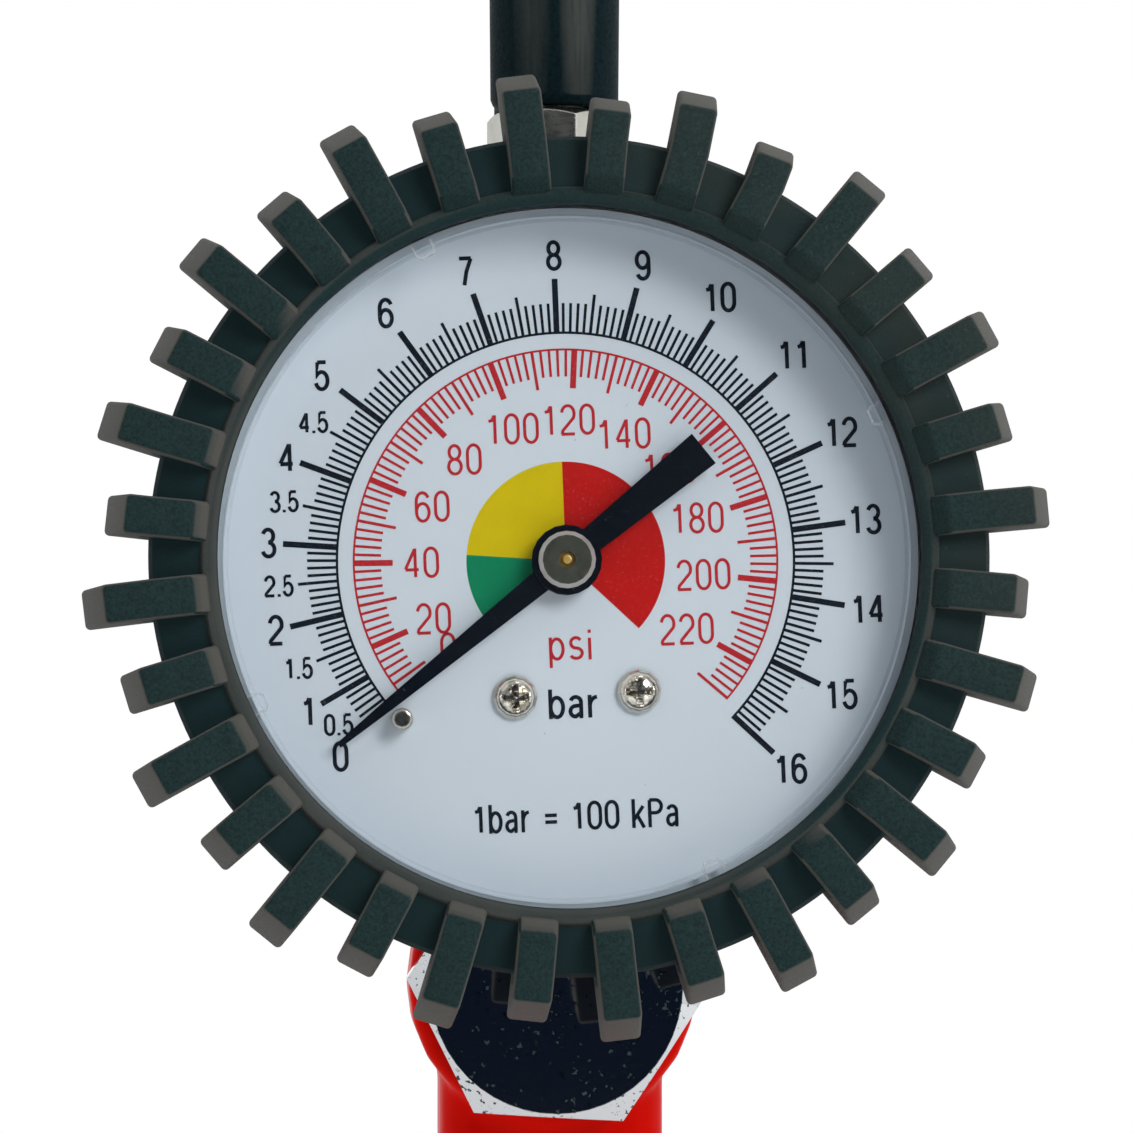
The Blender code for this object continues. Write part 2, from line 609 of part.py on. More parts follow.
def gauge_socket(frame):
    """The brass block that holds the tube's root and the movement, with the threaded stem."""
    thick = SOCKET_BACK - SOCKET_FRONT
    head = [(x, y - 1.0) for x, y in rounded_rectangle(8.0, 8.0, 2.0, 3)]
    socket = dial_plate_piece("gauge_socket", head, SOCKET_FRONT, thick, "brass", frame)
    leg = [(x, y - 14.0) for x, y in rounded_rectangle(7.5, 10.5, 1.5, 3)]
    parts = [dial_plate_piece("socket_leg", leg, SOCKET_FRONT, thick, None, frame)]
    boss_front, boss_back, neck_r = SOCKET_BACK - 1.7, STEM_HEX_FRONT + 0.4, STEM_THREAD_R - 0.6
    stem = [(0, boss_front), (STEM_BOSS_R, boss_front), (STEM_BOSS_R, boss_back), (neck_r, boss_back)]
    stem += [(neck_r, STEM_HEX_BACK + 0.4), (STEM_THREAD_R, STEM_HEX_BACK + 1.0)]
    stem += [(STEM_THREAD_R, STEM_END - 0.8), (STEM_THREAD_R - 0.8, STEM_END), (0, STEM_END)]
    parts.append(dial_turned("socket_stem", stem, None, frame))
    flats, long = hexagon(STEM_FLATS), STEM_HEX_BACK - STEM_HEX_FRONT
    parts.append(dial_plate_piece("socket_hexagon", flats, STEM_HEX_FRONT, long, None, frame))
    for part in parts:
        combine(socket, part, "UNION")
    dial_drill(socket, (0, 0), SOCKET_FRONT + 2, STEM_END + 3, 1.6, frame)
    for at in DIAL_SCREWS_AT:
        dial_drill(socket, at, SOCKET_FRONT - 1, SOCKET_BACK - 1, SCREW_R + GAP, frame)
    for side in (-1, 1):
        at = (side * CASE_SCREW_X, CASE_SCREW_Y)
        dial_drill(socket, at, SOCKET_BACK - 4, SOCKET_BACK + 1, SCREW_R + GAP, frame)


def gauge():
    frame = gauge_frame()
    gauge_lens(frame)
    gauge_case(frame)
    gauge_boot()
    dial_plate(frame)
    dial_screws(frame)
    case_screws(frame)
    stop_pin(frame)
    pointer(frame)
    pointer_bush(frame)
    pointer_spindle(frame)
    movement_plate("movement_front_plate", FRONT_PLATE, frame)
    movement_plate("movement_back_plate", BACK_PLATE, frame)
    movement_pillars(frame)
    sector_gear(frame)
    sector_arbor(frame)
    hairspring(frame)
    link_at = drive_link(frame)
    bourdon_tube(frame)
    tube_end(frame, link_at)
    gauge_socket(frame)
    turned("gauge_washer", ring(28.4, 29.2, STEM_THREAD_R + GAP, 8.6), "red_fibre", axis=BACK)


# --- Body and trigger valve --------------------------------------------------------------------


def inflator_body():
    """The die casting: handle, gauge pad, valve boss, hose neck, air inlet and trigger lug."""
    sections = [
        (BODY_FOOT, FOOT_R, FOOT_R, FOOT_R),
        (BODY_FOOT + 9, FOOT_R, FOOT_R, FOOT_R),
        (BODY_FOOT + 20, BODY_HALF_X, BODY_HALF_Y, BODY_CORNER),
        (12.0, BODY_HALF_X, BODY_HALF_Y, BODY_CORNER),
        (24.0, NECK_R, NECK_R, NECK_R),
        (BODY_TOP, NECK_R, NECK_R, NECK_R),
    ]
    rings = []
    for z, half_x, half_y, corner in sections:
        outline = rounded_rectangle(half_x, half_y, corner)
        rings.append([(x, y + BODY_Y, z) for x, y in outline])
    body = place("inflator_body", lofted_mesh("inflator_body", rings), "red_paint")
    boss = [(0, BOSS_FRONT), (BOSS_R - 0.8, BOSS_FRONT), (BOSS_R, BOSS_FRONT + 0.8), (BOSS_R, 49.0)]
    boss += [(BOSS_R - 3, 52.0), (0, 52.0)]
    lug = arc(PIVOT_R - 0.6, 90, -90, 9, (PIVOT_Y, PIVOT_Z))
    lug += [(BODY_Y, PIVOT_Z - 9), (BODY_Y, PIVOT_Z + 9)]
    lug_mesh = prism_mesh("body_lug", lug, -LUG_HALF, LUG_HALF)
    parts = [
        turned("body_valve_boss", boss, None, (0, 0, VALVE_Z), BACK, FINE // 2),
        turned("body_gauge_pad", rod(PAD_FRONT, BODY_Y, PAD_R), None, axis=BACK),
        place("body_lug", lug_mesh, turn=FACING_SIDE),
    ]
    for part in parts:
        combine(body, part, "UNION")
    cut_valve_bores(body)
    cut_air_ways(body)
    drill(body, (-LUG_HALF - 1, PIVOT_Y, PIVOT_Z), (LUG_HALF + 1, PIVOT_Y, PIVOT_Z), PIN_R + GAP, COARSE)


def cut_valve_bores(body):
    """The valve chamber from the front, its seat, and the stem's bore to the rear."""
    bore = [(0, BOSS_FRONT - 1), (CHAMBER_R, BOSS_FRONT - 1), (CHAMBER_R, SEAT_FRONT), (SEAT_R, SEAT_FRONT)]
    bore += [(SEAT_R, SEAT_BACK), (GUIDE_BORE_R, SEAT_BACK), (GUIDE_BORE_R, BODY_REAR + 1)]
    tool = turned("body_valve_bore", bore + [(0, BODY_REAR + 1)], None, (0, 0, VALVE_Z), BACK)
    combine(body, tool, "DIFFERENCE")


def cut_air_ways(body):
    """The ports, and the passages that join them to the two sides of the valve seat."""
    inlet_y, outlet_y = 39.0, 46.8
    foot, neck = BODY_FOOT, BODY_TOP - FITTING_PORT_DEPTH
    drill(body, (0, PAD_FRONT - 1, 0), (0, 38.5, 0), GAUGE_PORT_R)
    drill(body, (0, 38, 0), (0, outlet_y + 0.4, 0), 1.1, CROSSING)
    drill(body, (0, BODY_Y, foot - 1), (0, BODY_Y, foot + 12), GAUGE_PORT_R)
    drill(body, (0, inlet_y, foot + 11), (0, inlet_y, VALVE_Z - 3), 2.2, COARSE)
    drill(body, (HOSE_X, BODY_Y, BODY_TOP + 1), (HOSE_X, BODY_Y, neck), FITTING_PORT_R)
    drill(body, (0, outlet_y, VALVE_Z), (0, outlet_y, neck + 1), 1.6, COARSE)


def cap_nut():
    """The hexagon cap over the valve chamber: chamfered face, short thread and spring pocket."""
    corner_r = NUT_FLATS / math.sqrt(3)
    at = (0, 0, VALVE_Z)
    mesh = prism_mesh("cap_nut", hexagon(NUT_FLATS, NUT_TURN), -NUT_BACK, -NUT_FRONT)
    nut = place("cap_nut", mesh, "chrome", at, FACING_FRONT)
    face_r = NUT_FLATS * 0.487
    chamfer = [(0, NUT_FRONT), (face_r, NUT_FRONT), (corner_r + 0.1, NUT_FRONT + 1.2)]
    chamfer += [(corner_r + 0.1, NUT_BACK), (0, NUT_BACK)]
    combine(nut, turned("cap_nut_turning", chamfer, None, at, BACK, FINE), "INTERSECT")
    spigot = rod(NUT_BACK - 1, NUT_SPIGOT, CHAMBER_R - GAP)
    combine(nut, turned("cap_nut_spigot", spigot, None, at, BACK), "UNION")
    drill(nut, (0, NUT_SPIGOT + 1, VALVE_Z), (0, NUT_FRONT + 2, VALVE_Z), 5.0)


def trigger_valve():
    """Everything that slides in the valve chamber, and what guides and seals it."""
    at = (0, 0, VALVE_Z)
    washer = ring(NUT_BACK + 0.2, BOSS_FRONT - 0.2, CHAMBER_R, 10.6)
    turned("cap_nut_washer", washer, "red_fibre", at, BACK)
    end = PIVOT_Y + WEB_AT_VALVE - GAP
    stem = [(0, 36.5), (VALVE_STEM_R, 36.5), (VALVE_STEM_R, 40.0), (POPPET_R, 40.0), (POPPET_R, 42.0)]
    stem += [(VALVE_STEM_R, 42.0), (VALVE_STEM_R, end - 1.2), (1.4, end - 0.3), (0, end)]
    turned("valve_stem", stem, "brass", at, BACK)
    seal = ring(42.2, 43.2, VALVE_STEM_R + GAP, POPPET_R)
    turned("valve_seal", seal, "seal_rubber", at, BACK)
    seal_ring = arc(0.8, 0, 315, 8, (VALVE_STEM_R + GAP + 0.8, 49.8))
    turned("stem_seal", seal_ring, "seal_rubber", at, BACK)
    guide_r, head_r = GUIDE_BORE_R - GAP, 4.8
    guide = [(VALVE_STEM_R + GAP, 51.0), (guide_r, 51.0), (guide_r, BODY_REAR + GAP)]
    guide += [(head_r, BODY_REAR + GAP), (head_r, 56.0), (VALVE_STEM_R + GAP, 56.0)]
    turned("stem_guide", guide, "brass", at, BACK)
    spring = wire_mesh("valve_spring", coil(3.4, 10.0, 5), 0.4)
    place("valve_spring", spring, "spring_steel", (0, 39.3, VALVE_Z), FACING_FRONT)


def trigger():
    """The hand lever: a channel open towards the handle, with cheeks that straddle the lug."""
    drop = VALVE_Z - PIVOT_Z
    lip = 5.0
    outline = arc(PIVOT_R, 180, 90, 6)
    outline += [(WEB_AT_PIVOT, PIVOT_R + 1), (WEB_AT_PIVOT + TRIGGER_WALL, PIVOT_R)]
    outline += [(WEB_AT_VALVE + TRIGGER_WALL, drop), (WEB_AT_TIP + TRIGGER_WALL, -TRIGGER_LENGTH)]
    outline += [(WEB_AT_TIP + 4, -TRIGGER_LENGTH - lip), (WEB_AT_TIP + 2.6, -TRIGGER_LENGTH - lip - 0.6)]
    outline += [(WEB_AT_TIP - CHEEK_DEPTH, -TRIGGER_LENGTH), (WEB_AT_VALVE - CHEEK_DEPTH - 1, drop - 1)]
    mesh = prism_mesh("trigger", outline, -TRIGGER_HALF, TRIGGER_HALF)
    lever = place("trigger", mesh, "spring_steel", (0, PIVOT_Y, PIVOT_Z), FACING_SIDE)
    inside = [(-9, PIVOT_R + 4), (WEB_AT_PIVOT, PIVOT_R + 4), (WEB_AT_PIVOT, 0)]
    inside += [(WEB_AT_VALVE, drop), (WEB_AT_TIP - 0.4, -TRIGGER_LENGTH + 3)]
    inside += [(WEB_AT_TIP - 9, -TRIGGER_LENGTH + 3), (-9, drop)]
    half = TRIGGER_HALF - TRIGGER_WALL
    tool = prism_mesh("trigger_inside", inside, -half, half)
    combine(lever, place("trigger_inside", tool, None, (0, PIVOT_Y, PIVOT_Z), FACING_SIDE), "DIFFERENCE")
    reach = TRIGGER_HALF + 1
    drill(lever, (-reach, PIVOT_Y, PIVOT_Z), (reach, PIVOT_Y, PIVOT_Z), PIN_R + GAP, COARSE)


def headed_pin(name, at, half, radius, head_r):
    """A pin along X with a domed head at each end, clear of the cheeks it holds."""
    outline = [(0, -half - 1.2), (head_r * 0.6, -half - 1.2), (head_r, -half - 0.5), (head_r, -half)]
    outline += [(radius, -half), (radius, half), (head_r, half), (head_r, half + 0.5)]
    outline += [(head_r * 0.6, half + 1.2), (0, half + 1.2)]
    turned(name, outline, "nickel", at, RIGHT, COARSE)


def air_inlet():
    """The quick-coupling plug in the handle's foot, its washer and the filter above it."""
    at = (0, BODY_Y, BODY_FOOT)
    turned("inlet_washer", ring(-1.2, -0.3, GAUGE_PORT_R, 9.0), "red_fibre", at)
    thread_r, top, hex_top, hex_foot, foot = GAUGE_PORT_R - GAP, 10.0, -1.5, -8.0, -34.0
    plug = place("inlet_plug", prism_mesh("inlet_plug", hexagon(17.0), hex_foot, hex_top), "nickel", at)
    stem = [(0, foot), (3.4, foot), (4.0, foot + 0.8), (4.0, foot + 6), (5.6, foot + 7.5)]
    stem += [(5.6, foot + 12), (4.4, foot + 14), (4.4, foot + 18), (6.0, foot + 20), (6.0, hex_foot + 1)]
    stem += [(thread_r, hex_foot + 1), (thread_r, top), (0, top)]
    combine(plug, turned("inlet_plug_stem", stem, None, at), "UNION")
    drill(plug, (0, BODY_Y, BODY_FOOT + foot - 1), (0, BODY_Y, BODY_FOOT + 5), 2.4, COARSE)
    drill(plug, (0, BODY_Y, BODY_FOOT + 4), (0, BODY_Y, BODY_FOOT + top + 1), 4.2)
    thimble = [(3.1, 4.3), (3.9, 4.3), (3.9, 10.6), (3.0, 11.2), (0, 11.2)]
    thimble = [(0, 10.4), (3.1, 10.4)] + thimble
    turned("inlet_filter", thimble, "bronze", at, steps=COARSE)


def body():
    inflator_body()
    cap_nut()
    trigger_valve()
    trigger()
    headed_pin("trigger_pin", (0, PIVOT_Y, PIVOT_Z), TRIGGER_HALF + GAP, PIN_R, 3.0)
    air_inlet()


# --- Hose and chuck ----------------------------------------------------------------------------


def hose_fitting(name, at):
    """A chamfered hexagon with a thread below it and the hose's barb above."""
    flats = hexagon(FITTING_FLATS, FITTING_TURN)
    piece = place(name, prism_mesh(name, flats, 0, FITTING_HEX), "chrome", at)
    corner_r, face_r = FITTING_FLATS / math.sqrt(3) + 0.1, FITTING_FLATS / 2 - 0.4
    side = FITTING_HEX - (corner_r - face_r) * math.tan(math.radians(30))
    chamfer = [(0, 0), (corner_r, 0), (corner_r, side), (face_r, FITTING_HEX), (0, FITTING_HEX)]
    combine(piece, turned(f"{name}_turning", chamfer, None, at, steps=FINE), "INTERSECT")
    thread_r, foot, groove_r, rise = FITTING_PORT_R - GAP, -FITTING_THREAD, BARB_R - 0.6, BARB_LENGTH / 3
    outline = [(0, foot), (thread_r - 0.6, foot), (thread_r, foot + 0.6), (thread_r, 1), (groove_r, 1)]
    for i in range(3):
        barb = FITTING_HEX + i * rise
        outline += [(groove_r, barb + 1), (BARB_R, barb + 1), (groove_r, barb + rise)]
    outline.append((0, FITTING_HEX + BARB_LENGTH))
    combine(piece, turned(f"{name}_shaft", outline, None, at), "UNION")
    start, end = [Vector(at) + height * UP for height in (foot - 1, FITTING_HEX + BARB_LENGTH + 1)]
    drill(piece, start, end, AIR_R, COARSE)


def hose_path(overrun=0.0):
    """The hose's middle line: up, over in a half circle and down, with any overrun at each end."""
    bend = arc(HOSE_BEND_R, 180, 0, 19, (BODY_Y + HOSE_BEND_R, HOSE_BEND_Z))
    lean = (CHUCK_X - HOSE_X) / (CHUCK_Y - BODY_Y)
    points = [(HOSE_X, BODY_Y, HOSE_START - overrun)]
    points += [(HOSE_X + lean * (y - BODY_Y), y, z) for y, z in bend]
    return points + [(CHUCK_X, CHUCK_Y, HOSE_END - overrun)]


def hose():
    tube = place("hose", wire_mesh("hose", hose_path(), HOSE_R, 12), "hose_rubber")
    bore = place("hose_bore", wire_mesh("hose_bore", hose_path(2.0), HOSE_BORE_R + 0.15, 12))
    combine(tube, bore, "DIFFERENCE")


def chuck_body():
    """The clip-on chuck: hose thread on top, valve mouth below, and ears for the clip lever."""
    at, middle = (CHUCK_X, CHUCK_Y, 0), (CHUCK_X, 0, 0)
    outline = [(0, CHUCK_MOUTH), (CHUCK_R - 1, CHUCK_MOUTH), (CHUCK_R, CHUCK_MOUTH + 1), (CHUCK_R, -18)]
    outline += [(CHUCK_R - 1, -15), (CHUCK_R - 1, CHUCK_TOP - 1), (CHUCK_R - 2, CHUCK_TOP), (0, CHUCK_TOP)]
    chuck = turned("chuck_body", outline, "chrome", at, steps=FINE // 2)
    ear_half, slot_half = CLIP_HALF + 2.6, CLIP_HALF + GAP
    ear = arc(3.4, 60, -60, 7, (CLIP_Y, CLIP_Z)) + [(CHUCK_Y, CLIP_Z - 7), (CHUCK_Y, CLIP_Z + 7)]
    ear_mesh = prism_mesh("chuck_ears", ear, -ear_half, ear_half)
    combine(chuck, place("chuck_ears", ear_mesh, None, middle, FACING_SIDE), "UNION")
    slot = [(CHUCK_Y + 6.2, CLIP_Z - 20), (CLIP_Y + 9, CLIP_Z - 20), (CLIP_Y + 9, CLIP_Z + 9)]
    slot.append((CHUCK_Y + 6.2, CLIP_Z + 5))
    slot_tool = prism_mesh("chuck_slot", slot, -slot_half, slot_half)
    combine(chuck, place("chuck_slot", slot_tool, None, middle, FACING_SIDE), "DIFFERENCE")
    jaw = [(CHUCK_Y + 2, CLIP_Z - 12), (CHUCK_Y + 7, CLIP_Z - 12)]
    jaw += [(CHUCK_Y + 7, CLIP_Z - 5.5), (CHUCK_Y + 2, CLIP_Z - 5.5)]
    jaw_tool = prism_mesh("chuck_jaw_slot", jaw, -2.8, 2.8)
    combine(chuck, place("chuck_jaw_slot", jaw_tool, None, middle, FACING_SIDE), "DIFFERENCE")
    inner, thread_end = CHUCK_MOUTH + MOUTH_DEPTH, CHUCK_TOP - FITTING_THREAD
    for low, high, radius, sides in (
        (CHUCK_MOUTH - 1, inner, MOUTH_R, ROUND),
        (inner - 1, thread_end, 2.6, COARSE),
        (thread_end - 1, CHUCK_TOP + 1, FITTING_PORT_R, ROUND),
    ):
        drill(chuck, (CHUCK_X, CHUCK_Y, low), (CHUCK_X, CHUCK_Y, high), radius, sides)
    pocket = [(CHUCK_X, CHUCK_Y + reach, CLIP_SPRING_Z) for reach in (5.2, 12)]
    drill(chuck, *pocket, CLIP_SPRING_R + 0.8, COARSE)
    drill_for_clip_pin(chuck)


def drill_for_clip_pin(piece):
    ends = [(CHUCK_X + side * (CHUCK_R + 1), CLIP_Y, CLIP_Z) for side in (-1, 1)]
    drill(piece, *ends, CLIP_PIN_R + GAP, COARSE)


def chuck_core():
    """The seal at the bottom of the mouth and the finned pin that opens the tyre's valve."""
    at = (CHUCK_X, CHUCK_Y, CHUCK_MOUTH + MOUTH_DEPTH)
    turned("chuck_seal", ring(-3.5, -GAP, 1.8, MOUTH_R - GAP), "seal_rubber", at)
    bar, tip = 0.6, 2.2
    cross = [(tip, bar), (bar, bar), (bar, tip), (-bar, tip), (-bar, bar), (-tip, bar)]
    cross += [(-x, -y) for x, y in cross]
    pin = place("valve_depressor", prism_mesh("valve_depressor", cross, 0.3, 5.5), "brass", at)
    nose = [(0, -6.0), (0.5, -6.0), (0.9, -5.6), (0.9, 1.0), (0, 1.0)]
    combine(pin, turned("depressor_nose", nose, None, at, steps=COARSE), "UNION")


def chuck_lever():
    """The clip: a thumb arm above the pivot and a jaw below it that bites the valve's thread."""
    jaw_in, jaw_z = CHUCK_Y + 3.8 - CLIP_Y, -9.4
    outline = [(jaw_in, jaw_z), (jaw_in + 0.6, jaw_z - 0.7), (1.8, jaw_z - 1.4), (3.0, jaw_z)]
    outline += [(3.0, 0), (3.0, 4), (8.2, 34), (10.6, 37), (9.4, 38.2), (6.5, 35.2), (1.6, 5)]
    outline += arc(2.6, 100, 200, 5) + [(0.2, jaw_z + 1.6), (jaw_in, jaw_z + 0.9)]
    at = (CHUCK_X, CLIP_Y, CLIP_Z)
    mesh = prism_mesh("chuck_lever", outline, -CLIP_HALF, CLIP_HALF)
    lever = place("chuck_lever", mesh, "chrome", at, FACING_SIDE)
    narrow = [(jaw_in - 2, jaw_z - 4), (-1.2, jaw_z - 4), (-1.2, jaw_z + 4), (jaw_in - 2, jaw_z + 4)]
    for side, name in ((-1, "left"), (1, "right")):
        low, high = sorted((side * 2.4, side * (CLIP_HALF + 1)))
        tool = prism_mesh(f"jaw_trim_{name}", narrow, low, high)
        trim = place(f"jaw_trim_{name}", tool, None, at, FACING_SIDE)
        combine(lever, trim, "DIFFERENCE")
    drill_for_clip_pin(lever)


def chuck_lever_spring():
    """The coil that presses the clip's thumb arm out. It starts at the bottom of its pocket."""
    start, long = CHUCK_Y + 5.6, 7.2
    mesh = wire_mesh("chuck_lever_spring", coil(CLIP_SPRING_R, long, 4), 0.35)
    at = (CHUCK_X, start + long, CLIP_SPRING_Z)
    place("chuck_lever_spring", mesh, "spring_steel", at, FACING_FRONT)


def hose_and_chuck():
    hose_fitting("hose_fitting", (HOSE_X, BODY_Y, BODY_TOP + GAP))
    hose()
    hose_fitting("chuck_fitting", (CHUCK_X, CHUCK_Y, CHUCK_TOP + GAP))
    chuck_body()
    chuck_core()
    chuck_lever()
    headed_pin("chuck_lever_pin", (CHUCK_X, CLIP_Y, CLIP_Z), CLIP_HALF + 2.6 + GAP, CLIP_PIN_R, 2.2)
    chuck_lever_spring()


clear_scene()
gauge()
body()
hose_and_chuck()
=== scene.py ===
"""The look of a hand-held tyre inflator with a pressure gauge: finishes, dial print, rubber and light.

Lengths are in millimetres and angles in degrees until they go into a mesh. The dial faces -Y, X is
to its reader's right and Z is up. Depth is the distance behind the gauge's glass, along +Y. The
dial's own frame has x right, y up and z towards its reader, and is turned by GAUGE_TURN.
"""

import math
import random

import bmesh
import bpy
from mathutils import Matrix, Vector


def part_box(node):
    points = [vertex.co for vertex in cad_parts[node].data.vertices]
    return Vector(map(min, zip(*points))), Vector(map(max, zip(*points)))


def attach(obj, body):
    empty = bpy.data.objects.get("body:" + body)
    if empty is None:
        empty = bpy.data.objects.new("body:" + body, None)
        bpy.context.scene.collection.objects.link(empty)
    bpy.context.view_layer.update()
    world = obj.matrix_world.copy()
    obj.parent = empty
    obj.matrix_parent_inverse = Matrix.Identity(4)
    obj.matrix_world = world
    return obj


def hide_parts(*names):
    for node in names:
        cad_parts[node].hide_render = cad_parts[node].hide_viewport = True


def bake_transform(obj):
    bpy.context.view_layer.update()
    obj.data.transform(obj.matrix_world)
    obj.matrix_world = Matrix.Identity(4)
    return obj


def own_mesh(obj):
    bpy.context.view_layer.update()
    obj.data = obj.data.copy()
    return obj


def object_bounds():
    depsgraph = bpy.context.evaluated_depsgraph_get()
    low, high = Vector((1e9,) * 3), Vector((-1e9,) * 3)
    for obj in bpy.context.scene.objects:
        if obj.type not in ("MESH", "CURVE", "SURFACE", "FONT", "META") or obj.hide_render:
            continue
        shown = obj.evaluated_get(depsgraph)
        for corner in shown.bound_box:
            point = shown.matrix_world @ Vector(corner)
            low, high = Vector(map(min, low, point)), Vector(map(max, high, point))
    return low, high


MM = 0.001
GAUGE_TURN = 2.3
FRONT, ACROSS = (0, -1, 0), (1, 0, 1)  # towards the dial's reader, and the plane of the dial
TO_UPRIGHT = Matrix.Scale(MM, 4) @ Matrix.Rotation(math.pi / 2, 4, "X")  # z towards the reader
TO_DIAL = TO_UPRIGHT @ Matrix.Rotation(math.radians(GAUGE_TURN), 4, "Z")

# Dial print. The bar scale runs clockwise from 225 degrees, and both scales share it.
DIAL_FRONT = 6.6
INK, INK_STEP = 0.03, 0.002  # thickness of the print, and of each further stroke over it
ZERO_ANGLE, BAR_ANGLE, BAR_START, BAR_END = 225.0, 16.875, 0.5, 16
PSI = 0.0689476  # bar in one psi
PSI_START, PSI_END, PSI_EACH, PSI_WHOLE = 8, 230, 2, 20  # in psi; the last two: per tick, per numeral
BAR_ARC, PSI_ARC, ARC_STEPS = (19.56, 0.21), (18.12, 0.17), 120  # radius and width of the base lines
BAR_TICK_ROOT, PSI_TICK_ROOT = 19.46, 18.2
BAR_TICKS = ((22.1, 0.24), (22.96, 0.26), (24.2, 0.50))  # fine, half and whole: tip radius, width
PSI_TICKS = ((15.8, 0.22), (14.8, 0.25), (14.8, 0.50))

# Numerals: height, thickness and radius. Those below CLOSE_BAR stand closer to the middle, some are
# off their spokes, and all in psi stand a little to the left.
NUMERAL_HIGH, NUMERAL_THICK, NUMERAL_R, CLOSE_BAR, CLOSER = 2.65, 0.34, 26.2, 5, 0.75
NUMERAL_SLIPS = {10: (-0.45, 0.3), 11: (0.0, 0.3), 12: (-0.15, 0.1), 13: (-0.3, 0.0)}
SMALL_HIGH, SMALL_THICK, SMALL_R, HALVES = 1.9, 0.26, 24.6, (1.5, 2.5, 3.5, 4.5)
PSI_HIGH, PSI_THICK, PSI_R, PSI_SHIFT = 2.7, 0.26, 12.1, Vector((-0.25, 0))

# Captions: text, centre, height and thickness, and how far the line is spread if it is.
BAR_CAPTIONS = (
    ("0", (-19.87, -15.93), NUMERAL_HIGH, NUMERAL_THICK),
    ("0.5", (-19.93, -13.22), SMALL_HIGH, SMALL_THICK),
    ("bar", (0.2, -12.2), 2.6, 0.34, 1.18),
    ("1bar = 100 kPa", (0, -21.8), 2.5, 0.30),
)
PSI_CAPTIONS = (
    ("0", (-10.35, -7.05), PSI_HIGH, PSI_THICK),
    ("psi", (0.1, -7.2), 2.6, 0.27, 1.14),
)

# Coloured sectors: first and last bar, and colour.
ZONE_R, ZONE_STEPS = 8.5, 40
ZONES = {
    "green": (0.4, 3, (0.0, 0.23, 0.10)),
    "yellow": (3, 8, (0.68, 0.52, 0.0)),
    "red": (8, BAR_END, (0.53, 0.006, 0.004)),
}

# Strokes: degrees for each point of a curve, the gap that counts as none, and the sharpest mitre.
BOW_STEP, SAME_POINT, MITRE_LIMIT = 15, 1e-6, 0.5

# Boot: a sleeve with a lip over the window's edge, and long and short fins in turn.
FIN_COUNT, FIN_TURN = 32, 6.2
FIN_FRONT, FIN_BACK, FIN_FRONT_WIDTH, FIN_BACK_WIDTH = -3.2, 4.8, 3.35, 3.45
LONG_FIN, SHORT_FIN = (39.3, 41.4), (37.6, 39.5)  # tip radius at the front and at the back
FIN_KINK_R, FIN_SOFTNESS, FIN_EDGE = 35.4, 0.42, 20  # edges that turn by more are softened
CHANCE_SEED, LENGTH_CHANCE, BEND_CHANCE = 4, (-0.08, 0.12), (-1.2, 1.2)
BENT_FINS = {5: 7.0, 6: 5.0, 7: -2.0}  # fins that storage has pushed over, and by how much
BOOT_SHIFT = Vector((0.12, 0.18, 0))  # the boot sits a little high and to the right
SLEEVE_SIDES, BOOT_CRISP = 6 * FIN_COUNT, 38  # edges that turn by more look crisp
SLEEVE = (  # radius, depth
    (29.75, 0.7), (29.75, -0.8), (29.9, -1.15), (30.5, -1.5), (31.0, -1.45), (31.2, -0.9),
    (34.4, -0.3), (35.2, 0.0), (35.6, 0.8), (35.9, 21.4), (35.7, 21.9), (35.3, 22.0),
    (31.45, 22.0), (31.45, 0.7),
)

# Hose: up from the body, over in one bend and down to the chuck behind, a little to the right.
BODY_Y, HOSE_R, HOSE_BORE_R, HOSE_BEND_Z, HOSE_BEND_R = 44.0, 6.0, 4.05, 100.0, 50.0
HOSE_START, HOSE_END, HOSE_X, CHUCK_X = 43.1, 2.8, 0.5, 3.9
HOSE_TIP = ((0.0, 0.7), (0.4, 0.3), (0.9, 0.1))  # distance from an end, how far it is drawn in there
HOSE_SIDES, HOSE_STRAIGHT_STEPS, HOSE_BEND_STEPS, HOSE_CRISP = 48, 14, 48, 50

# Window: its snap tabs, and two rings, each from one radius to another and from front to back.
TAB_COUNT, TAB_ANGLE, TAB_WALL, TAB_HEIGHTS = 4, 22.8, 0.22, (-1.9, -1.0)
TAB_PATH = ((29.5, -0.85), (28.6, -0.8), (28.3, -0.5), (28.3, 0.5), (28.6, 0.8), (29.5, 0.85))
SKIRT, STEP = (29.25, 29.9, 3.1, 6.4), (28.75, 28.95, 2.0, 3.0)
RIM_STEPS, RIM_CRISP = 128, 40

# Casting: the grain of its skin, and how strongly and how often its edges are smoothed.
CAST_VOXEL, CAST_SOFTENING, CAST_PASSES = 0.45, 0.6, 4

# Elastic parts: node, joint and share of its length kept at full travel.
COIL_SPRINGS = (("valve_spring", "valve_slide", 0.67), ("chuck_lever_spring", "chuck_lever_lift", 0.38))
WIRE_LEVELS = 2  # how often the wire's facets are divided

DIAL_SCREWS = ("dial_screw_left", "dial_screw_right")

# Light and surroundings. Directions point away from the dial; distances are in metres.
FLOOR_R, FLOOR_FADE, FLOOR_SIDES = 2.4, 0.5, 96
OPENING, OPENING_EDGE = (0.02, -0.999, 0.03), (0.66, 0.80)  # the white tent's dark opening
OPENING_COLOUR, WHITE = (0.006, 0.010, 0.020), (1.0, 1.0, 1.0)
TENT_BRIGHTER, TENT_LEVELS = (0.7, 0, 0.7), (0.90, 1.14)  # the tent's brighter side, and its levels
KEY_WAY, KEY_DISTANCE, KEY_SIZE, KEY_POWER = Vector((0.437, -0.809, 0.393)), 1.2, 0.5, 8.1

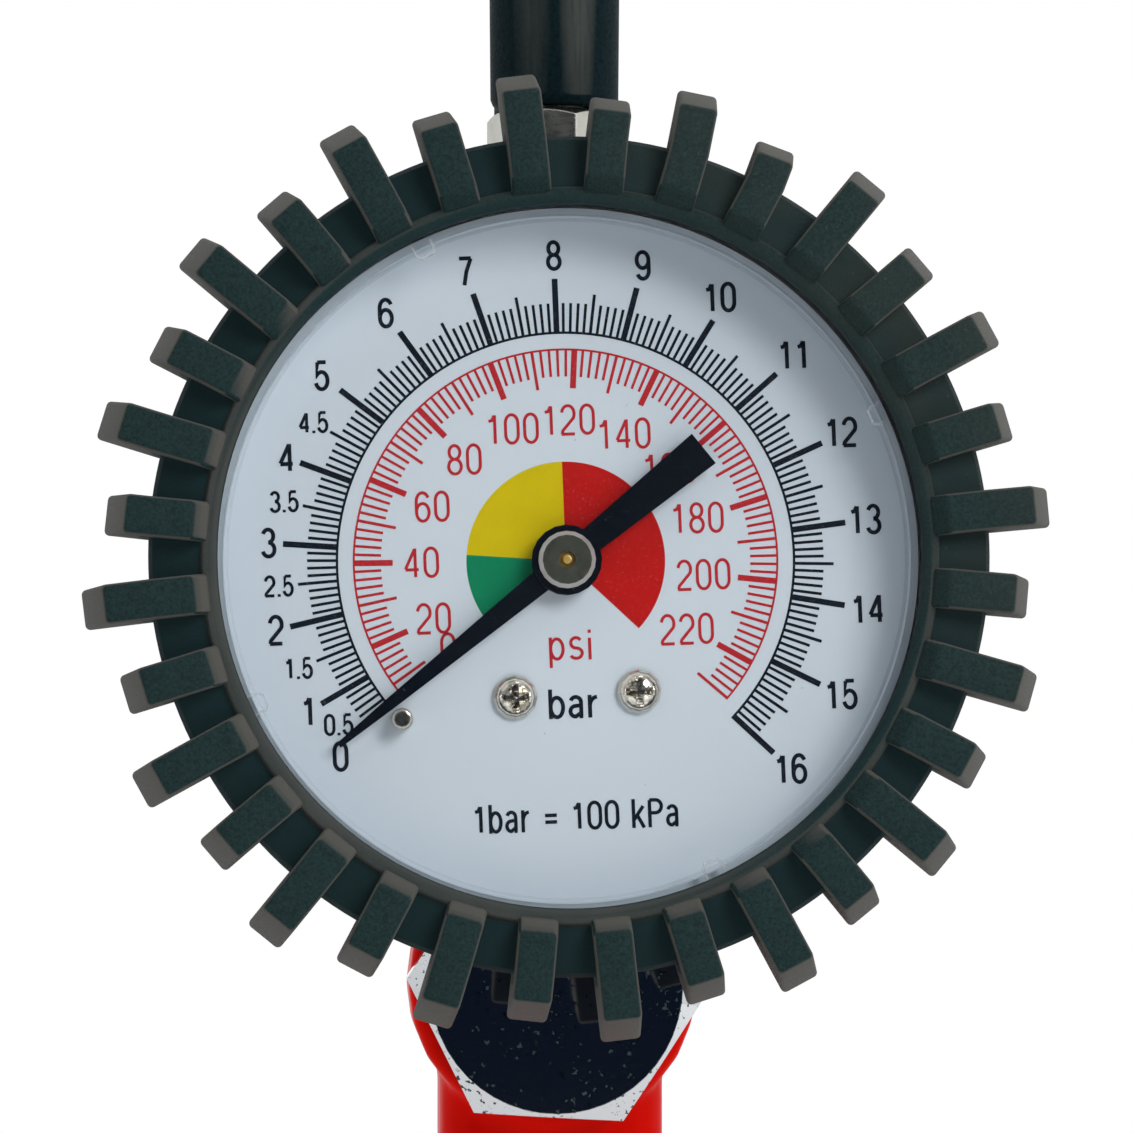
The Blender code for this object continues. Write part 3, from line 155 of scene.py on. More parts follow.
# Camera, in millimetres but for its range, which is in metres.
CAMERA_AT, CAMERA_AIM = Vector((-21.1, -500, -21.1)), Vector((-0.22, 0, -0.75))
CAMERA_LENS, CAMERA_SENSOR, CAMERA_RANGE = 188.6, 36, (0.01, 20)


# --- Node trees --------------------------------------------------------------------------------

MIX_FACTOR, MIX_FIRST, MIX_SECOND, MIX_RESULT = 0, 6, 7, 2  # a mix node's sockets for colours


def new_material(name):
    """A material, its node tree and its Principled shader."""
    material = bpy.data.materials.new(name)
    material.use_nodes = True
    tree = material.node_tree
    return material, tree, tree.nodes["Principled BSDF"]


def feed(tree, made, inputs):
    """Gives inputs of a node a value each, or another node's output."""
    for key, value in inputs.items():
        if isinstance(value, bpy.types.NodeSocket):
            tree.links.new(value, made.inputs[key])
        else:
            made.inputs[key].default_value = value


def node(tree, kind, inputs=None, **settings):
    """A node with its settings and inputs."""
    made = tree.nodes.new(kind)
    for key, value in settings.items():
        setattr(made, key, value)
    feed(tree, made, inputs or {})
    return made


def arithmetic(tree, operation, first, second):
    """A sum of two values, or another operation on them."""
    return node(tree, "ShaderNodeMath", {0: first, 1: second}, operation=operation).outputs[0]


def times(tree, first, second):
    """The product of two values; for two masks, where both are."""
    return arithmetic(tree, "MULTIPLY", first, second)


def either(tree, first, second):
    """Where at least one of two masks is."""
    return arithmetic(tree, "MAXIMUM", first, second)


def all_but(tree, mask):
    """Where a mask isn't."""
    return arithmetic(tree, "SUBTRACT", 1.0, mask)


def vector(tree, operation, first, second=None):
    """A sum, product, direction or length of vectors."""
    inputs = {0: first} if second is None else {0: first, 1: second}
    made = node(tree, "ShaderNodeVectorMath", inputs, operation=operation)
    return made.outputs["Value" if operation in ("DOT_PRODUCT", "LENGTH") else "Vector"]


def along(tree, source, way):
    """How far a vector reaches along a direction."""
    return vector(tree, "DOT_PRODUCT", source, way)


def between(tree, source, low, high, to_low=0.0, to_high=1.0):
    """Maps low to high on to 0 to 1, or on to another range."""
    limits = {"Value": source, "From Min": low, "From Max": high, "To Min": to_low, "To Max": to_high}
    return node(tree, "ShaderNodeMapRange", limits).outputs[0]


def steps(tree, source, *stops):
    """A ramp through (position, grey level) stops."""
    ramp = node(tree, "ShaderNodeValToRGB", {"Fac": source})
    points = ramp.color_ramp.elements
    while len(points) < len(stops):
        points.new(0.5)
    for point, (position, level) in zip(points, stops):
        point.position = position
        point.color = (level, level, level, 1)
    return ramp.outputs["Color"]


def blend(tree, factor, first, second):
    """One colour over another."""
    first, second = (c if isinstance(c, bpy.types.NodeSocket) else (*c, 1) for c in (first, second))
    inputs = {MIX_FACTOR: factor, MIX_FIRST: first, MIX_SECOND: second}
    return node(tree, "ShaderNodeMix", inputs, data_type="RGBA").outputs[MIX_RESULT]


def mix_shaders(tree, factor, first, second):
    """One shader's output over another's."""
    inputs = {0: factor, 1: first.outputs[0], 2: second.outputs[0]}
    return node(tree, "ShaderNodeMixShader", inputs)


def place_on(tree):
    """The point on the object, in metres."""
    return node(tree, "ShaderNodeTexCoord").outputs["Object"]


def facing(tree, way):
    """1 where the surface looks along a direction, 0 where it is square to it."""
    return along(tree, node(tree, "ShaderNodeNewGeometry").outputs["Normal"], way)


def noise(tree, size, detail=3.0, stretch=(1, 1, 1)):
    """Noise from 0 to 1 with features of about size millimetres."""
    mapping = {"Vector": place_on(tree), "Scale": [1 / s for s in stretch]}
    scaled = node(tree, "ShaderNodeMapping", mapping).outputs[0]
    inputs = {"Vector": scaled, "Scale": 1 / (size * MM), "Detail": detail}
    return node(tree, "ShaderNodeTexNoise", inputs).outputs["Fac"]


def rounded_normal(tree, radius):
    """The surface's direction, as if its edges were rounded by the given radius."""
    return node(tree, "ShaderNodeBevel", {"Radius": radius * MM}, samples=4).outputs[0]


def edge_mask(tree, radius):
    """1 along sharp edges and 0 on flat faces."""
    true_normal = node(tree, "ShaderNodeNewGeometry").outputs["True Normal"]
    agree = along(tree, rounded_normal(tree, radius), true_normal)
    return steps(tree, agree, (0.80, 1.0), (0.97, 0.0))


def surface(tree, shader, grain, height, rounding=0.0):
    """Gives a shader fine bumps, over edges rounded by the given radius."""
    bump = node(tree, "ShaderNodeBump", {"Height": grain, "Distance": height * MM})
    if rounding:
        feed(tree, bump, {"Normal": rounded_normal(tree, rounding)})
    feed(tree, shader, {"Normal": bump.outputs[0]})


# --- Materials ---------------------------------------------------------------------------------


def shaded(colour, share):
    """A colour made darker or lighter."""
    return [c * share for c in colour]


def speckled(tree, colour, size):
    """Two close shades of a colour in fine speckle, and the speckle itself."""
    speckle = noise(tree, size, 2.0)
    amount = steps(tree, speckle, (0.30, 0.0), (0.72, 1.0))
    return blend(tree, amount, shaded(colour, 0.7), shaded(colour, 1.35)), speckle


def finish_rubber(tree, shader, colour, speckle, roughness, gloss=0.10):
    """Gives rubber its colour and a fine matt grain."""
    uneven = steps(tree, speckle, (0.3, roughness + 0.08), (0.7, roughness - 0.04))
    feed(tree, shader, {"Base Color": colour, "Roughness": uneven, "Specular IOR Level": gloss})
    surface(tree, shader, speckle, 0.035, 0.2)


def rubber(name, colour, roughness, speckle_size):
    """Plain moulded rubber."""
    material, tree, shader = new_material(name)
    mottled, speckle = speckled(tree, colour, speckle_size)
    finish_rubber(tree, shader, mottled, speckle, roughness)
    return material


def boot_rubber():
    """The boot: black on its front faces and on inward faces kept in painted shade, a darker painted
    shade on its back, a painted grey-brown sheen on its other faces and painted light on its lower
    lip. Dust gathers to the upper right."""
    material, tree, shader = new_material("boot_rubber_worn")
    black, deep, shaded_back = (0.0085, 0.0215, 0.0220), (0.0080, 0.023, 0.0260), (0.009, 0.014, 0.022)
    sheen_and_mark_grey, dust, lit_lip_grey = (0.074, 0.072, 0.066), (0.028, 0.036, 0.030), (0.044, 0.048, 0.044)

    # Where a point lies, in millimetres from the gauge's axis and in front of its glass.
    spot = vector(tree, "MULTIPLY", place_on(tree), [1 / MM] * 3)
    across = vector(tree, "MULTIPLY", spot, ACROSS)
    radius, outward = vector(tree, "LENGTH", across), vector(tree, "NORMALIZE", across)
    forward = along(tree, spot, FRONT)
    upper_right = between(tree, along(tree, spot, (0.8, 0, 0.6)), 16, 38)
    below_top = between(tree, along(tree, spot, (-0.5, 0, -0.87)), -26, -10)
    proud = either(tree, between(tree, radius, 36.1, 36.4), between(tree, forward, 0.9, 1.6))
    lip = times(tree, between(tree, radius, 31.3, 31.1), between(tree, forward, 0.8, 1.1))

    # Which way a face looks.
    # Painted shade: inward faces that don't look towards the light at the upper right count as shaded
    # and stay black.
    inward = between(tree, facing(tree, outward), -0.15, -0.35)
    lit = between(tree, facing(tree, (0.7, 0, 0.7)), 0.0, 0.3)
    out_of_shade = all_but(tree, times(tree, inward, all_but(tree, lit)))
    looks_back = between(tree, facing(tree, (0, 1, 0)), 0.3, 0.6)
    forwardness = between(tree, facing(tree, FRONT), -1, 1)
    turned_away = steps(tree, forwardness, (0.10, 0.0), (0.20, 0.9), (0.80, 0.9), (0.93, 0.0))

    # Layers, from the bare rubber outwards.
    grain, speckle = speckled(tree, black, 0.22)
    patches = noise(tree, 6.0, 4.0)
    dust_in_hollows = times(tree, upper_right, steps(tree, patches, (0.30, 0.3), (0.70, 1.0)))
    dust_on_fins = times(tree, upper_right, steps(tree, patches, (0.30, 0.1), (0.70, 0.5)))
    hollow = blend(tree, dust_in_hollows, deep, dust)
    fin_front = blend(tree, dust_on_fins, grain, dust)
    # Painted shade: faces that look back take a darker blue-black, so that they stay dark where the cap
    # nut mirrors them.
    tone = blend(tree, looks_back, blend(tree, proud, hollow, fin_front), shaded_back)
    # Painted light: the lip's lower part, out of the painted shade, is lightened to grey in patches as
    # if lit from the upper right.
    lit_lip = times(tree, out_of_shade, steps(tree, patches, (0.3, 0.6), (0.7, 1)))
    tone = blend(tree, times(tree, times(tree, lip, below_top), lit_lip), tone, lit_lip_grey)
    # Painted sheen: faces turned from the front, out of the painted shade, take a light grey-brown as
    # if lit at a glance; scuffs and flecks take the same grey.
    tone = blend(tree, times(tree, turned_away, times(tree, out_of_shade, proud)), tone, sheen_and_mark_grey)
    scuffs = times(tree, edge_mask(tree, 0.35), steps(tree, patches, (0.35, 0.05), (0.65, 0.35)))
    tone = blend(tree, times(tree, scuffs, proud), tone, sheen_and_mark_grey)
    flecks = steps(tree, noise(tree, 0.55, 4.0), (0.66, 0.0), (0.76, 0.5))
    tone = blend(tree, times(tree, upper_right, flecks), tone, sheen_and_mark_grey)
    finish_rubber(tree, shader, tone, speckle, 0.68)
    return material


def hose_rubber():
    """The hose: near black, with two painted pale highlights in bands along its front."""
    material, tree, shader = new_material("hose_rubber_highlit")
    black, pale = (0.0035, 0.011, 0.014), (0.060, 0.066, 0.060)
    bands = (((0.34, -0.94, 0), 1.0), ((-0.40, -0.917, 0), 0.45))  # way each one faces, strength
    tone, speckle = speckled(tree, black, 0.35)
    streaks = steps(tree, noise(tree, 0.5, 3.0, (1, 1, 12)), (0.3, 0.55), (0.7, 1.0))
    # Painted highlights: a pale grey, broken into streaks, where the hose faces each of these ways.
    for way, strength in bands:
        highlight = steps(tree, facing(tree, way), (0.945, 0.0), (0.995, strength))
        tone = blend(tree, times(tree, highlight, streaks), tone, pale)
    finish_rubber(tree, shader, tone, speckle, 0.5, gloss=0.03)
    return material


def metal(name, colour, roughness, size=0.6, stretch=(1, 1, 1), tarnish=None, pits=0.0, rounding=0.2):
    """Plated, turned or pressed metal with fine marks, uneven sheen, and dark pits."""
    material, tree, shader = new_material(name)
    marks, patches = noise(tree, size, 4.0, stretch), noise(tree, 5.0, 3.0)
    dull = tarnish or shaded(colour, 0.6)
    tone = blend(tree, steps(tree, patches, (0.38, 0.0), (0.72, 0.55)), colour, dull)
    spots = steps(tree, noise(tree, 0.45, 5.0), (0.66, 0.0), (0.74, pits))
    tone = blend(tree, spots, tone, shaded(dull, 0.3))
    sheen = steps(tree, marks, (0.25, max(roughness - 0.03, 0.02)), (0.75, roughness + 0.07))
    feed(tree, shader, {"Base Color": tone, "Metallic": 1.0, "Roughness": sheen})
    surface(tree, shader, marks, 0.004, rounding)
    return material


def paint(name, colour, rubbed_colour, chip_colour, roughness):
    """Sprayed paint: orange peel, darker patches, and edges that are rubbed and chipped."""
    material, tree, shader = new_material(name)
    patches = noise(tree, 12.0, 3.0)
    tone = blend(tree, steps(tree, patches, (0.35, 0.0), (0.70, 1.0)), colour, shaded(colour, 0.82))
    tone = blend(tree, times(tree, edge_mask(tree, 0.6), 0.35), tone, rubbed_colour)
    broken = steps(tree, noise(tree, 1.3, 6.0), (0.62, 0.0), (0.66, 1.0))
    tone = blend(tree, times(tree, edge_mask(tree, 0.45), broken), tone, chip_colour)
    sheen = steps(tree, patches, (0.3, roughness), (0.7, roughness + 0.08))
    feed(tree, shader, {"Base Color": tone, "Roughness": sheen, "Specular IOR Level": 0.02})
    feed(tree, shader, {"Coat Weight": 0.01, "Coat Roughness": 0.08})
    surface(tree, shader, noise(tree, 0.8, 1.0), 0.012, 0.35)
    return material


def ink(name, colour, worn=0.12):
    """Printed colour that lets specks of the ground through."""
    material, tree, shader = new_material(name)
    ground = (0.75, 0.72, 0.70)
    specks = steps(tree, noise(tree, 0.18, 3.0), (0.62, 0.0), (0.78, worn))
    tone = blend(tree, noise(tree, 2.5, 3.0), shaded(colour, 0.9), shaded(colour, 1.1))
    tone = blend(tree, specks, tone, ground)
    feed(tree, shader, {"Base Color": tone, "Roughness": 0.5, "Specular IOR Level": 0.1})
    surface(tree, shader, noise(tree, 0.15, 2.0), 0.003)
    return material


def dial_ground():
    """Pale grey-blue enamel with a painted shadow of the rim that darkens it to the upper right, a
    faint grain and a few specks.
    """
    material, tree, shader = new_material("dial_ground")
    pale, shade, grain, speck = (
        (0.665, 0.735, 0.79), (0.48, 0.55, 0.61), (0.54, 0.61, 0.68), (0.22, 0.25, 0.28)
    )
    # Painted shadow: the boot's rim shades the enamel towards the upper right.
    painted_rim_shadow = between(tree, along(tree, place_on(tree), (0.62, 0, 0.78)), 12 * MM, 30 * MM)
    tone = blend(tree, times(tree, painted_rim_shadow, 0.75), pale, shade)
    tone = blend(tree, steps(tree, noise(tree, 0.2, 2.0), (0.3, 0.0), (0.7, 0.12)), tone, grain)
    tone = blend(tree, steps(tree, noise(tree, 0.5, 2.0), (0.77, 0.0), (0.80, 0.6)), tone, speck)
    feed(tree, shader, {"Base Color": tone, "Roughness": 0.5})
    surface(tree, shader, noise(tree, 0.25, 2.0), 0.004)
    return material


def needle_paint():
    """Matt black with fine scratches across the needle and a few pale chips."""
    material, tree, shader = new_material("needle_paint")
    black, scratch, chip = (0.0015, 0.004, 0.009), (0.03, 0.06, 0.06), (0.16, 0.22, 0.22)
    scratches = steps(tree, noise(tree, 0.10, 2.0, (14, 14, 1)), (0.66, 0.0), (0.72, 0.35))
    chips = steps(tree, noise(tree, 0.35, 4.0), (0.70, 0.0), (0.74, 0.8))
    tone = blend(tree, chips, blend(tree, scratches, black, scratch), chip)
    feed(tree, shader, {"Base Color": tone, "Roughness": 0.35, "Specular IOR Level": 0.07})
    surface(tree, shader, noise(tree, 0.12, 2.0), 0.004, 0.08)
    return material


def clear_window(name, haze):
    """Clear plastic: see-through, with a faint film, and mirror-like at a glance."""
    material, tree, shader = new_material(name)
    tree.nodes.remove(shader)
    through = node(tree, "ShaderNodeBsdfTransparent", {"Color": (0.985, 0.99, 0.995, 1)})
    film = node(tree, "ShaderNodeBsdfDiffuse", {"Color": (0.72, 0.76, 0.80, 1)})
    smears = steps(tree, noise(tree, 7.0, 5.0, (1, 1, 2.5)), (0.40, haze * 0.4), (0.75, haze))
    body = mix_shaders(tree, smears, through, film)
    shine = node(tree, "ShaderNodeBsdfGlossy", {"Roughness": 0.03})
    glance = node(tree, "ShaderNodeFresnel", {"IOR": 1.45}).outputs[0]
    whole = mix_shaders(tree, times(tree, glance, 0.5), body, shine)
    feed(tree, tree.nodes["Material Output"], {"Surface": whole.outputs[0]})
    return material


def bush_metal():
    """The needle's bush: dark and mottled on its face, a painted reflection of the dark space in front
    of it, and pale on its chamfer.
    """
    material, tree, shader = new_material("bush_turned")
    mottle = noise(tree, 0.6, 4.0)
    dark, light, chamfer = (0.17, 0.18, 0.14), (0.27, 0.28, 0.22), (0.86, 0.80, 0.74)
    # Painted reflection: the face that looks to the front takes a dark metal colour.
    face = blend(tree, steps(tree, mottle, (0.35, 0.0), (0.70, 1.0)), dark, light)
    flat = steps(tree, facing(tree, FRONT), (0.88, 0.0), (0.95, 1.0))
    sheen = blend(tree, flat, (0.42, 0.42, 0.42), (0.26, 0.26, 0.26))
    tone = blend(tree, flat, chamfer, face)
    feed(tree, shader, {"Base Color": tone, "Metallic": 1.0, "Roughness": sheen})
    surface(tree, shader, mottle, 0.001)
    return material


def worn_screw(name):
    """Nickel plate, bright at the head's rim, dented about the driver's recess and darkened there by
    brown stain and painted shade.
    """
    material, tree, shader = new_material(f"{name}_nickel")
    bright, stain_and_shade = (0.86, 0.82, 0.72), (0.24, 0.19, 0.10)
    low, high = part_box(name)
    place = node(tree, "ShaderNodeNewGeometry").outputs["Position"]
    offset = vector(tree, "SUBTRACT", place, (low + high) / 2)
    radius = vector(tree, "LENGTH", vector(tree, "MULTIPLY", offset, ACROSS))
    used = between(tree, radius, 1.45 * MM, 0.95 * MM)
    dents = times(tree, used, noise(tree, 0.8, 2.0))
    # Brown stain and painted shade in the recess's hollow darken the head about its middle.
    stains_and_shade = times(tree, used, steps(tree, noise(tree, 0.6, 3.0), (0.42, 0.0), (0.56, 0.9)))
    tone = blend(tree, stains_and_shade, bright, stain_and_shade)
    feed(tree, shader, {"Base Color": tone, "Metallic": 1.0, "Roughness": 0.14})
    surface(tree, shader, dents, 0.13, 0.25)
    return material


def skirt_plastic():
    """Clear plastic seen edge on: pale and nearly opaque, painted light in place of the light that its
    edge refracts.
    """
    material, tree, shader = new_material("skirt_plastic")
    bands = noise(tree, 1.5, 2.0, (6, 1, 6))
    # Painted light: a pale blue-grey in bands stands in for light refracted through the clear edge.
    tone = blend(tree, bands, (0.46, 0.54, 0.60), (0.60, 0.68, 0.74))
    feed(tree, shader, {"Base Color": tone, "Roughness": 0.4})
    surface(tree, shader, bands, 0.01)
    return material


def cap_nut_chrome():
    """Mirror chrome with tiny specks of teal-grey dust, and softened edges."""
    material, tree, shader = new_material("cap_nut_chrome")
    chrome, dust_colour = (0.58, 0.60, 0.62), (0.018, 0.040, 0.046)
    spots = steps(tree, noise(tree, 0.5, 7.0), (0.60, 0.0), (0.68, 1.0))
    areas = steps(tree, noise(tree, 3.5, 2.0), (0.38, 0.0), (0.56, 0.8))
    dust = times(tree, spots, areas)
    tone = blend(tree, steps(tree, dust, (0.0, 0.0), (0.25, 1.0)), chrome, dust_colour)
    bare = steps(tree, dust, (0.25, 1.0), (0.60, 0.0))
    sheen = steps(tree, dust, (0.25, 0.04), (0.60, 0.60))
    feed(tree, shader, {"Base Color": tone, "Metallic": bare, "Roughness": sheen})
    surface(tree, shader, areas, 0.0004, 0.12)
    return material


def dark_plastic():
    """Moulded black plastic of the gauge's case."""
    material, tree, shader = new_material("dark_plastic")
    grain = noise(tree, 0.4, 3.0)
    tone = blend(tree, grain, (0.012, 0.012, 0.013), (0.028, 0.028, 0.030))
    sheen = steps(tree, grain, (0.3, 0.38), (0.7, 0.5))
    feed(tree, shader, {"Base Color": tone, "Roughness": sheen})
    surface(tree, shader, grain, 0.02, 0.2)
    return material


def fibre():
    """Pressed red fibre of the sealing washers."""
    material, tree, shader = new_material("pressed_fibre")
    threads = noise(tree, 0.5, 5.0, (3, 1, 1))
    tone = blend(tree, threads, (0.20, 0.03, 0.02), (0.42, 0.08, 0.05))
    feed(tree, shader, {"Base Color": tone, "Roughness": 0.85})
    surface(tree, shader, threads, 0.05, 0.1)
    return material


def floor_paper():
    """Pale paper that fades into the white surroundings at its edge."""
    material, tree, shader = new_material("floor_paper")
    tone = blend(tree, noise(tree, 40.0, 6.0), (0.80, 0.80, 0.80), (0.86, 0.86, 0.86))
    feed(tree, shader, {"Base Color": tone, "Roughness": 0.9})
    away = vector(tree, "LENGTH", place_on(tree))
    limits = {"Value": away, "From Min": FLOOR_FADE, "From Max": FLOOR_R}
    fade = node(tree, "ShaderNodeMapRange", limits, interpolation_type="SMOOTHSTEP").outputs[0]
    whole = mix_shaders(tree, fade, shader, node(tree, "ShaderNodeBsdfTransparent"))
    feed(tree, tree.nodes["Material Output"], {"Surface": whole.outputs[0]})
    return material


# --- Mesh helpers ------------------------------------------------------------------------------


def as_mesh(bm, name):
    """Turns a bmesh into a mesh."""
    mesh = bpy.data.meshes.new(name)
    bm.to_mesh(mesh)
    bm.free()
    return mesh


def add_object(name, data):
    """Puts a mesh, a lamp or a camera into the scene."""
    thing = bpy.data.objects.new(name, data)
    bpy.context.scene.collection.objects.link(thing)
    return thing


def smooth(mesh, angle):
    """Shades a mesh smoothly, except over edges sharper than an angle."""
    mesh.shade_smooth()
    mesh.set_sharp_from_angle(angle=math.radians(angle))


def piece_from(bm, name, material, place, smooth_angle=None):
    """Turns a bmesh into a piece that rides on the root body."""
    bmesh.ops.transform(bm, matrix=place, verts=bm.verts)
    bmesh.ops.recalc_face_normals(bm, faces=bm.faces)
    mesh = as_mesh(bm, name)
    if smooth_angle:
        smooth(mesh, smooth_angle)
    mesh.materials.append(material)
    piece = add_object(name, mesh)
    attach(piece, "root")
    return piece


def copy_of(node_name, name, material):
    """A piece that starts with a CAD node's shape and stands in for it."""
    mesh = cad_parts[node_name].data.copy()
    mesh.name = name
    mesh.materials.clear()
    mesh.materials.append(material)
    piece = add_object(name, mesh)
    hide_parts(node_name)
    return piece


def apply_modifiers(thing):
    """Bakes a piece's modifiers into its mesh."""
    graph = bpy.context.evaluated_depsgraph_get()
    mesh = bpy.data.meshes.new_from_object(thing.evaluated_get(graph), depsgraph=graph)
    thing.modifiers.clear()
    thing.data = mesh


def polar(radius, angle):
    """A point of the plane at a radius, anticlockwise from +x by an angle."""
    return Vector((radius * math.cos(math.radians(angle)), radius * math.sin(math.radians(angle))))


def bow(x, y, half_x, half_y, start, end):
    """Points on part of an ellipse, both ends included, about one for every BOW_STEP degrees."""
    count = max(3, round(abs(end - start) / BOW_STEP))
    turns = [math.radians(start + (end - start) * i / count) for i in range(count + 1)]
    return [(x + half_x * math.cos(a), y + half_y * math.sin(a)) for a in turns]


def stroke(bm, points, width, low, high):
    """A flat bar of constant width along a path in the xy plane, as a closed solid. A path that
    ends where it starts makes a closed loop."""
    points = [Vector(point) for point in points]
    closed = (points[0] - points[-1]).length < SAME_POINT
    if closed:
        points = points[:-1]
    rows = []
    for i, point in enumerate(points):
        before = points[i - 1] if i or closed else point
        after = points[(i + 1) % len(points)] if i + 1 < len(points) or closed else point
        into = (point - before).normalized() if point != before else (after - point).normalized()
        out = (after - point).normalized() if after != point else into
        across = Vector((-(into.y + out.y), into.x + out.x)).normalized()
        reach = width / 2 / max(across.dot(Vector((-out.y, out.x))), MITRE_LIMIT)
        corners = [point + across * reach, point - across * reach]
        rows.append([bm.verts.new((*corner, z)) for z in (low, high) for corner in corners])
    pairs = list(zip(rows, rows[1:])) + ([(rows[-1], rows[0])] if closed else [])
    for a, b in pairs:
        for i, j in ((0, 1), (1, 3), (3, 2), (2, 0)):
            bm.faces.new((a[i], a[j], b[j], b[i]))
    if not closed:
        for row in (rows[0], rows[-1]):
            bm.faces.new((row[0], row[1], row[3], row[2]))


def bridge(bm, first, second):
    """Faces between two closed rings of as many vertices each."""
    for i in range(len(first)):
        bm.faces.new((first[i], first[i - 1], second[i - 1], second[i]))


def lathe(bm, outline, count):
    """A ring turned about z from a closed outline of (radius, height) points."""
    rings = []
    for i in range(count):
        spoke = polar(1, 360 * i / count)
        rings.append([bm.verts.new((*(spoke * radius), height)) for radius, height in outline])
    for i, ring in enumerate(rings):
        bridge(bm, ring, rings[i - 1])


# --- Dial print --------------------------------------------------------------------------------

FIRST_LOOP, LOWER_LOOP = bow(0.5, 0.7, 0.5, 0.3, 0, 360), bow(0.5, 0.31, 0.5, 0.31, 0, 360)
SMALL_BOWL = bow(0.5, 0.37, 0.5, 0.37, 0, 360)
LARGE_BOWL = [(0, 1), (0.5, 1), *bow(0.5, 0.75, 0.5, 0.25, 90, -90), (0, 0.5)]

# Each character: its width for a height of 1, and its strokes in a cell one wide and one high.
LETTERS = {
    "0": (0.44, [bow(0.5, 0.7, 0.5, 0.3, 0, 180) + bow(0.5, 0.3, 0.5, 0.3, 180, 360) + [(1, 0.7)]]),
    "1": (0.40, [[(0.1, 0.79), (0.4, 0.82), (0.6, 0.99)], [(0.64, 0), (0.64, 1)]]),
    "2": (0.44, [bow(0.5, 0.71, 0.5, 0.29, 170, -30) + [(0.05, 0.12), (0, 0)], [(-0.05, 0), (1, 0)]]),
    "3": (0.44, [bow(0.5, 0.76, 0.44, 0.24, 160, -90), bow(0.5, 0.26, 0.5, 0.26, 90, -165)]),
    "4": (0.46, [[(0.76, 0), (0.76, 1)], [(0.74, 0.98), (0, 0.28)], [(0, 0.26), (1, 0.26)]]),
    "5": (0.44, [[(0.9, 1), (0.18, 1)], [(0.2, 1), (0.1, 0.5)] + bow(0.5, 0.32, 0.5, 0.32, 130, -165)]),
    "6": (0.44, [LOWER_LOOP, bow(0.5, 0.68, 0.5, 0.32, 25, 180) + [(0, 0.31)]]),
    "7": (0.44, [[(0, 1), (1, 1)], [(0.98, 0.99), (0.58, 0.5), (0.38, 0)]]),
    "8": (0.44, [bow(0.5, 0.76, 0.43, 0.24, 0, 360), bow(0.5, 0.26, 0.5, 0.26, 0, 360)]),
    "9": (0.44, [FIRST_LOOP, bow(0.5, 0.31, 0.5, 0.31, -155, 0) + [(1, 0.7)]]),
    ".": (0.04, [[(0.5, -0.06), (0.5, 0.08)]]),
    "=": (0.46, [[(0, 0.30), (1, 0.30)], [(0, 0.56), (1, 0.56)]]),
    "a": (0.40, [bow(0.45, 0.54, 0.42, 0.2, 160, 0) + [(0.87, 0), (1, 0)],
                 [(0.87, 0.42)] + bow(0.42, 0.2, 0.42, 0.2, 90, 270) + [(0.87, 0.14)]]),
    "b": (0.40, [[(0, -0.06), (0, 1.06)], SMALL_BOWL]),
    "i": (0.04, [[(0.5, -0.06), (0.5, 0.74)], [(0.5, 0.92), (0.5, 1.04)]]),
    "k": (0.40, [[(0, -0.06), (0, 1.06)], [(0.95, 0.78), (0.04, 0.26)], [(0.35, 0.44), (1, -0.06)]]),
    "p": (0.40, [[(0, -0.32), (0, 0.8)], SMALL_BOWL]),
    "r": (0.24, [[(0, -0.06), (0, 0.8)], bow(1.0, 0.36, 1.0, 0.36, 175, 90)]),
    "s": (0.38, [bow(0.5, 0.57, 0.44, 0.19, 30, 270), bow(0.5, 0.19, 0.5, 0.19, 90, -155)]),
    "P": (0.46, [[(0, -0.06), (0, 1)], LARGE_BOWL]),
    " ": (0.16, []),
}
LETTER_GAP = 0.23


def lettering(bm, text, centre, high, thick, spread=1.0):
    """A line of print, upright and centred on a point of the dial, and spread along its line."""
    wide = spread * (sum(LETTERS[letter][0] for letter in text) + LETTER_GAP * (len(text) - 1))
    inner = high - thick
    x = centre[0] - wide * inner / 2
    foot = centre[1] - inner / 2
    for letter in text:
        width, strokes = LETTERS[letter]
        for i, path in enumerate(strokes):
            points = [(x + u * width * spread * inner, foot + v * inner) for u, v in path]
            stroke(bm, points, thick, -DIAL_FRONT - INK, -DIAL_FRONT + INK + i * INK_STEP)
        x += (width + LETTER_GAP) * spread * inner


def scale_angle(bar):
    """Where a pressure stands on the dial."""
    return ZERO_ANGLE - BAR_ANGLE * bar


def scale_points(radius, start, end, count):
    """Points on the dial at one radius, from one pressure to another."""
    first, last = scale_angle(start), scale_angle(end)
    return [polar(radius, first + (last - first) * i / count) for i in range(count + 1)]


def scale_arc(bm, radius, width, start, end):
    """A scale's base line, from one pressure to another."""
    stroke(bm, scale_points(radius, start, end, ARC_STEPS), width, -DIAL_FRONT - INK, -DIAL_FRONT + INK)


def tick(bm, bar, inner, outer, width):
    """One tick of a scale."""
    ends = [polar(radius, scale_angle(bar)) for radius in (inner, outer)]
    stroke(bm, ends, width, -DIAL_FRONT - INK, -DIAL_FRONT + INK + INK_STEP)


def tick_kind(value, whole):
    """Which of a scale's three ticks a value takes: 2 on a whole division, 1 on a half, or else 0."""
    return 2 if value % whole == 0 else 1 if value % (whole // 2) == 0 else 0


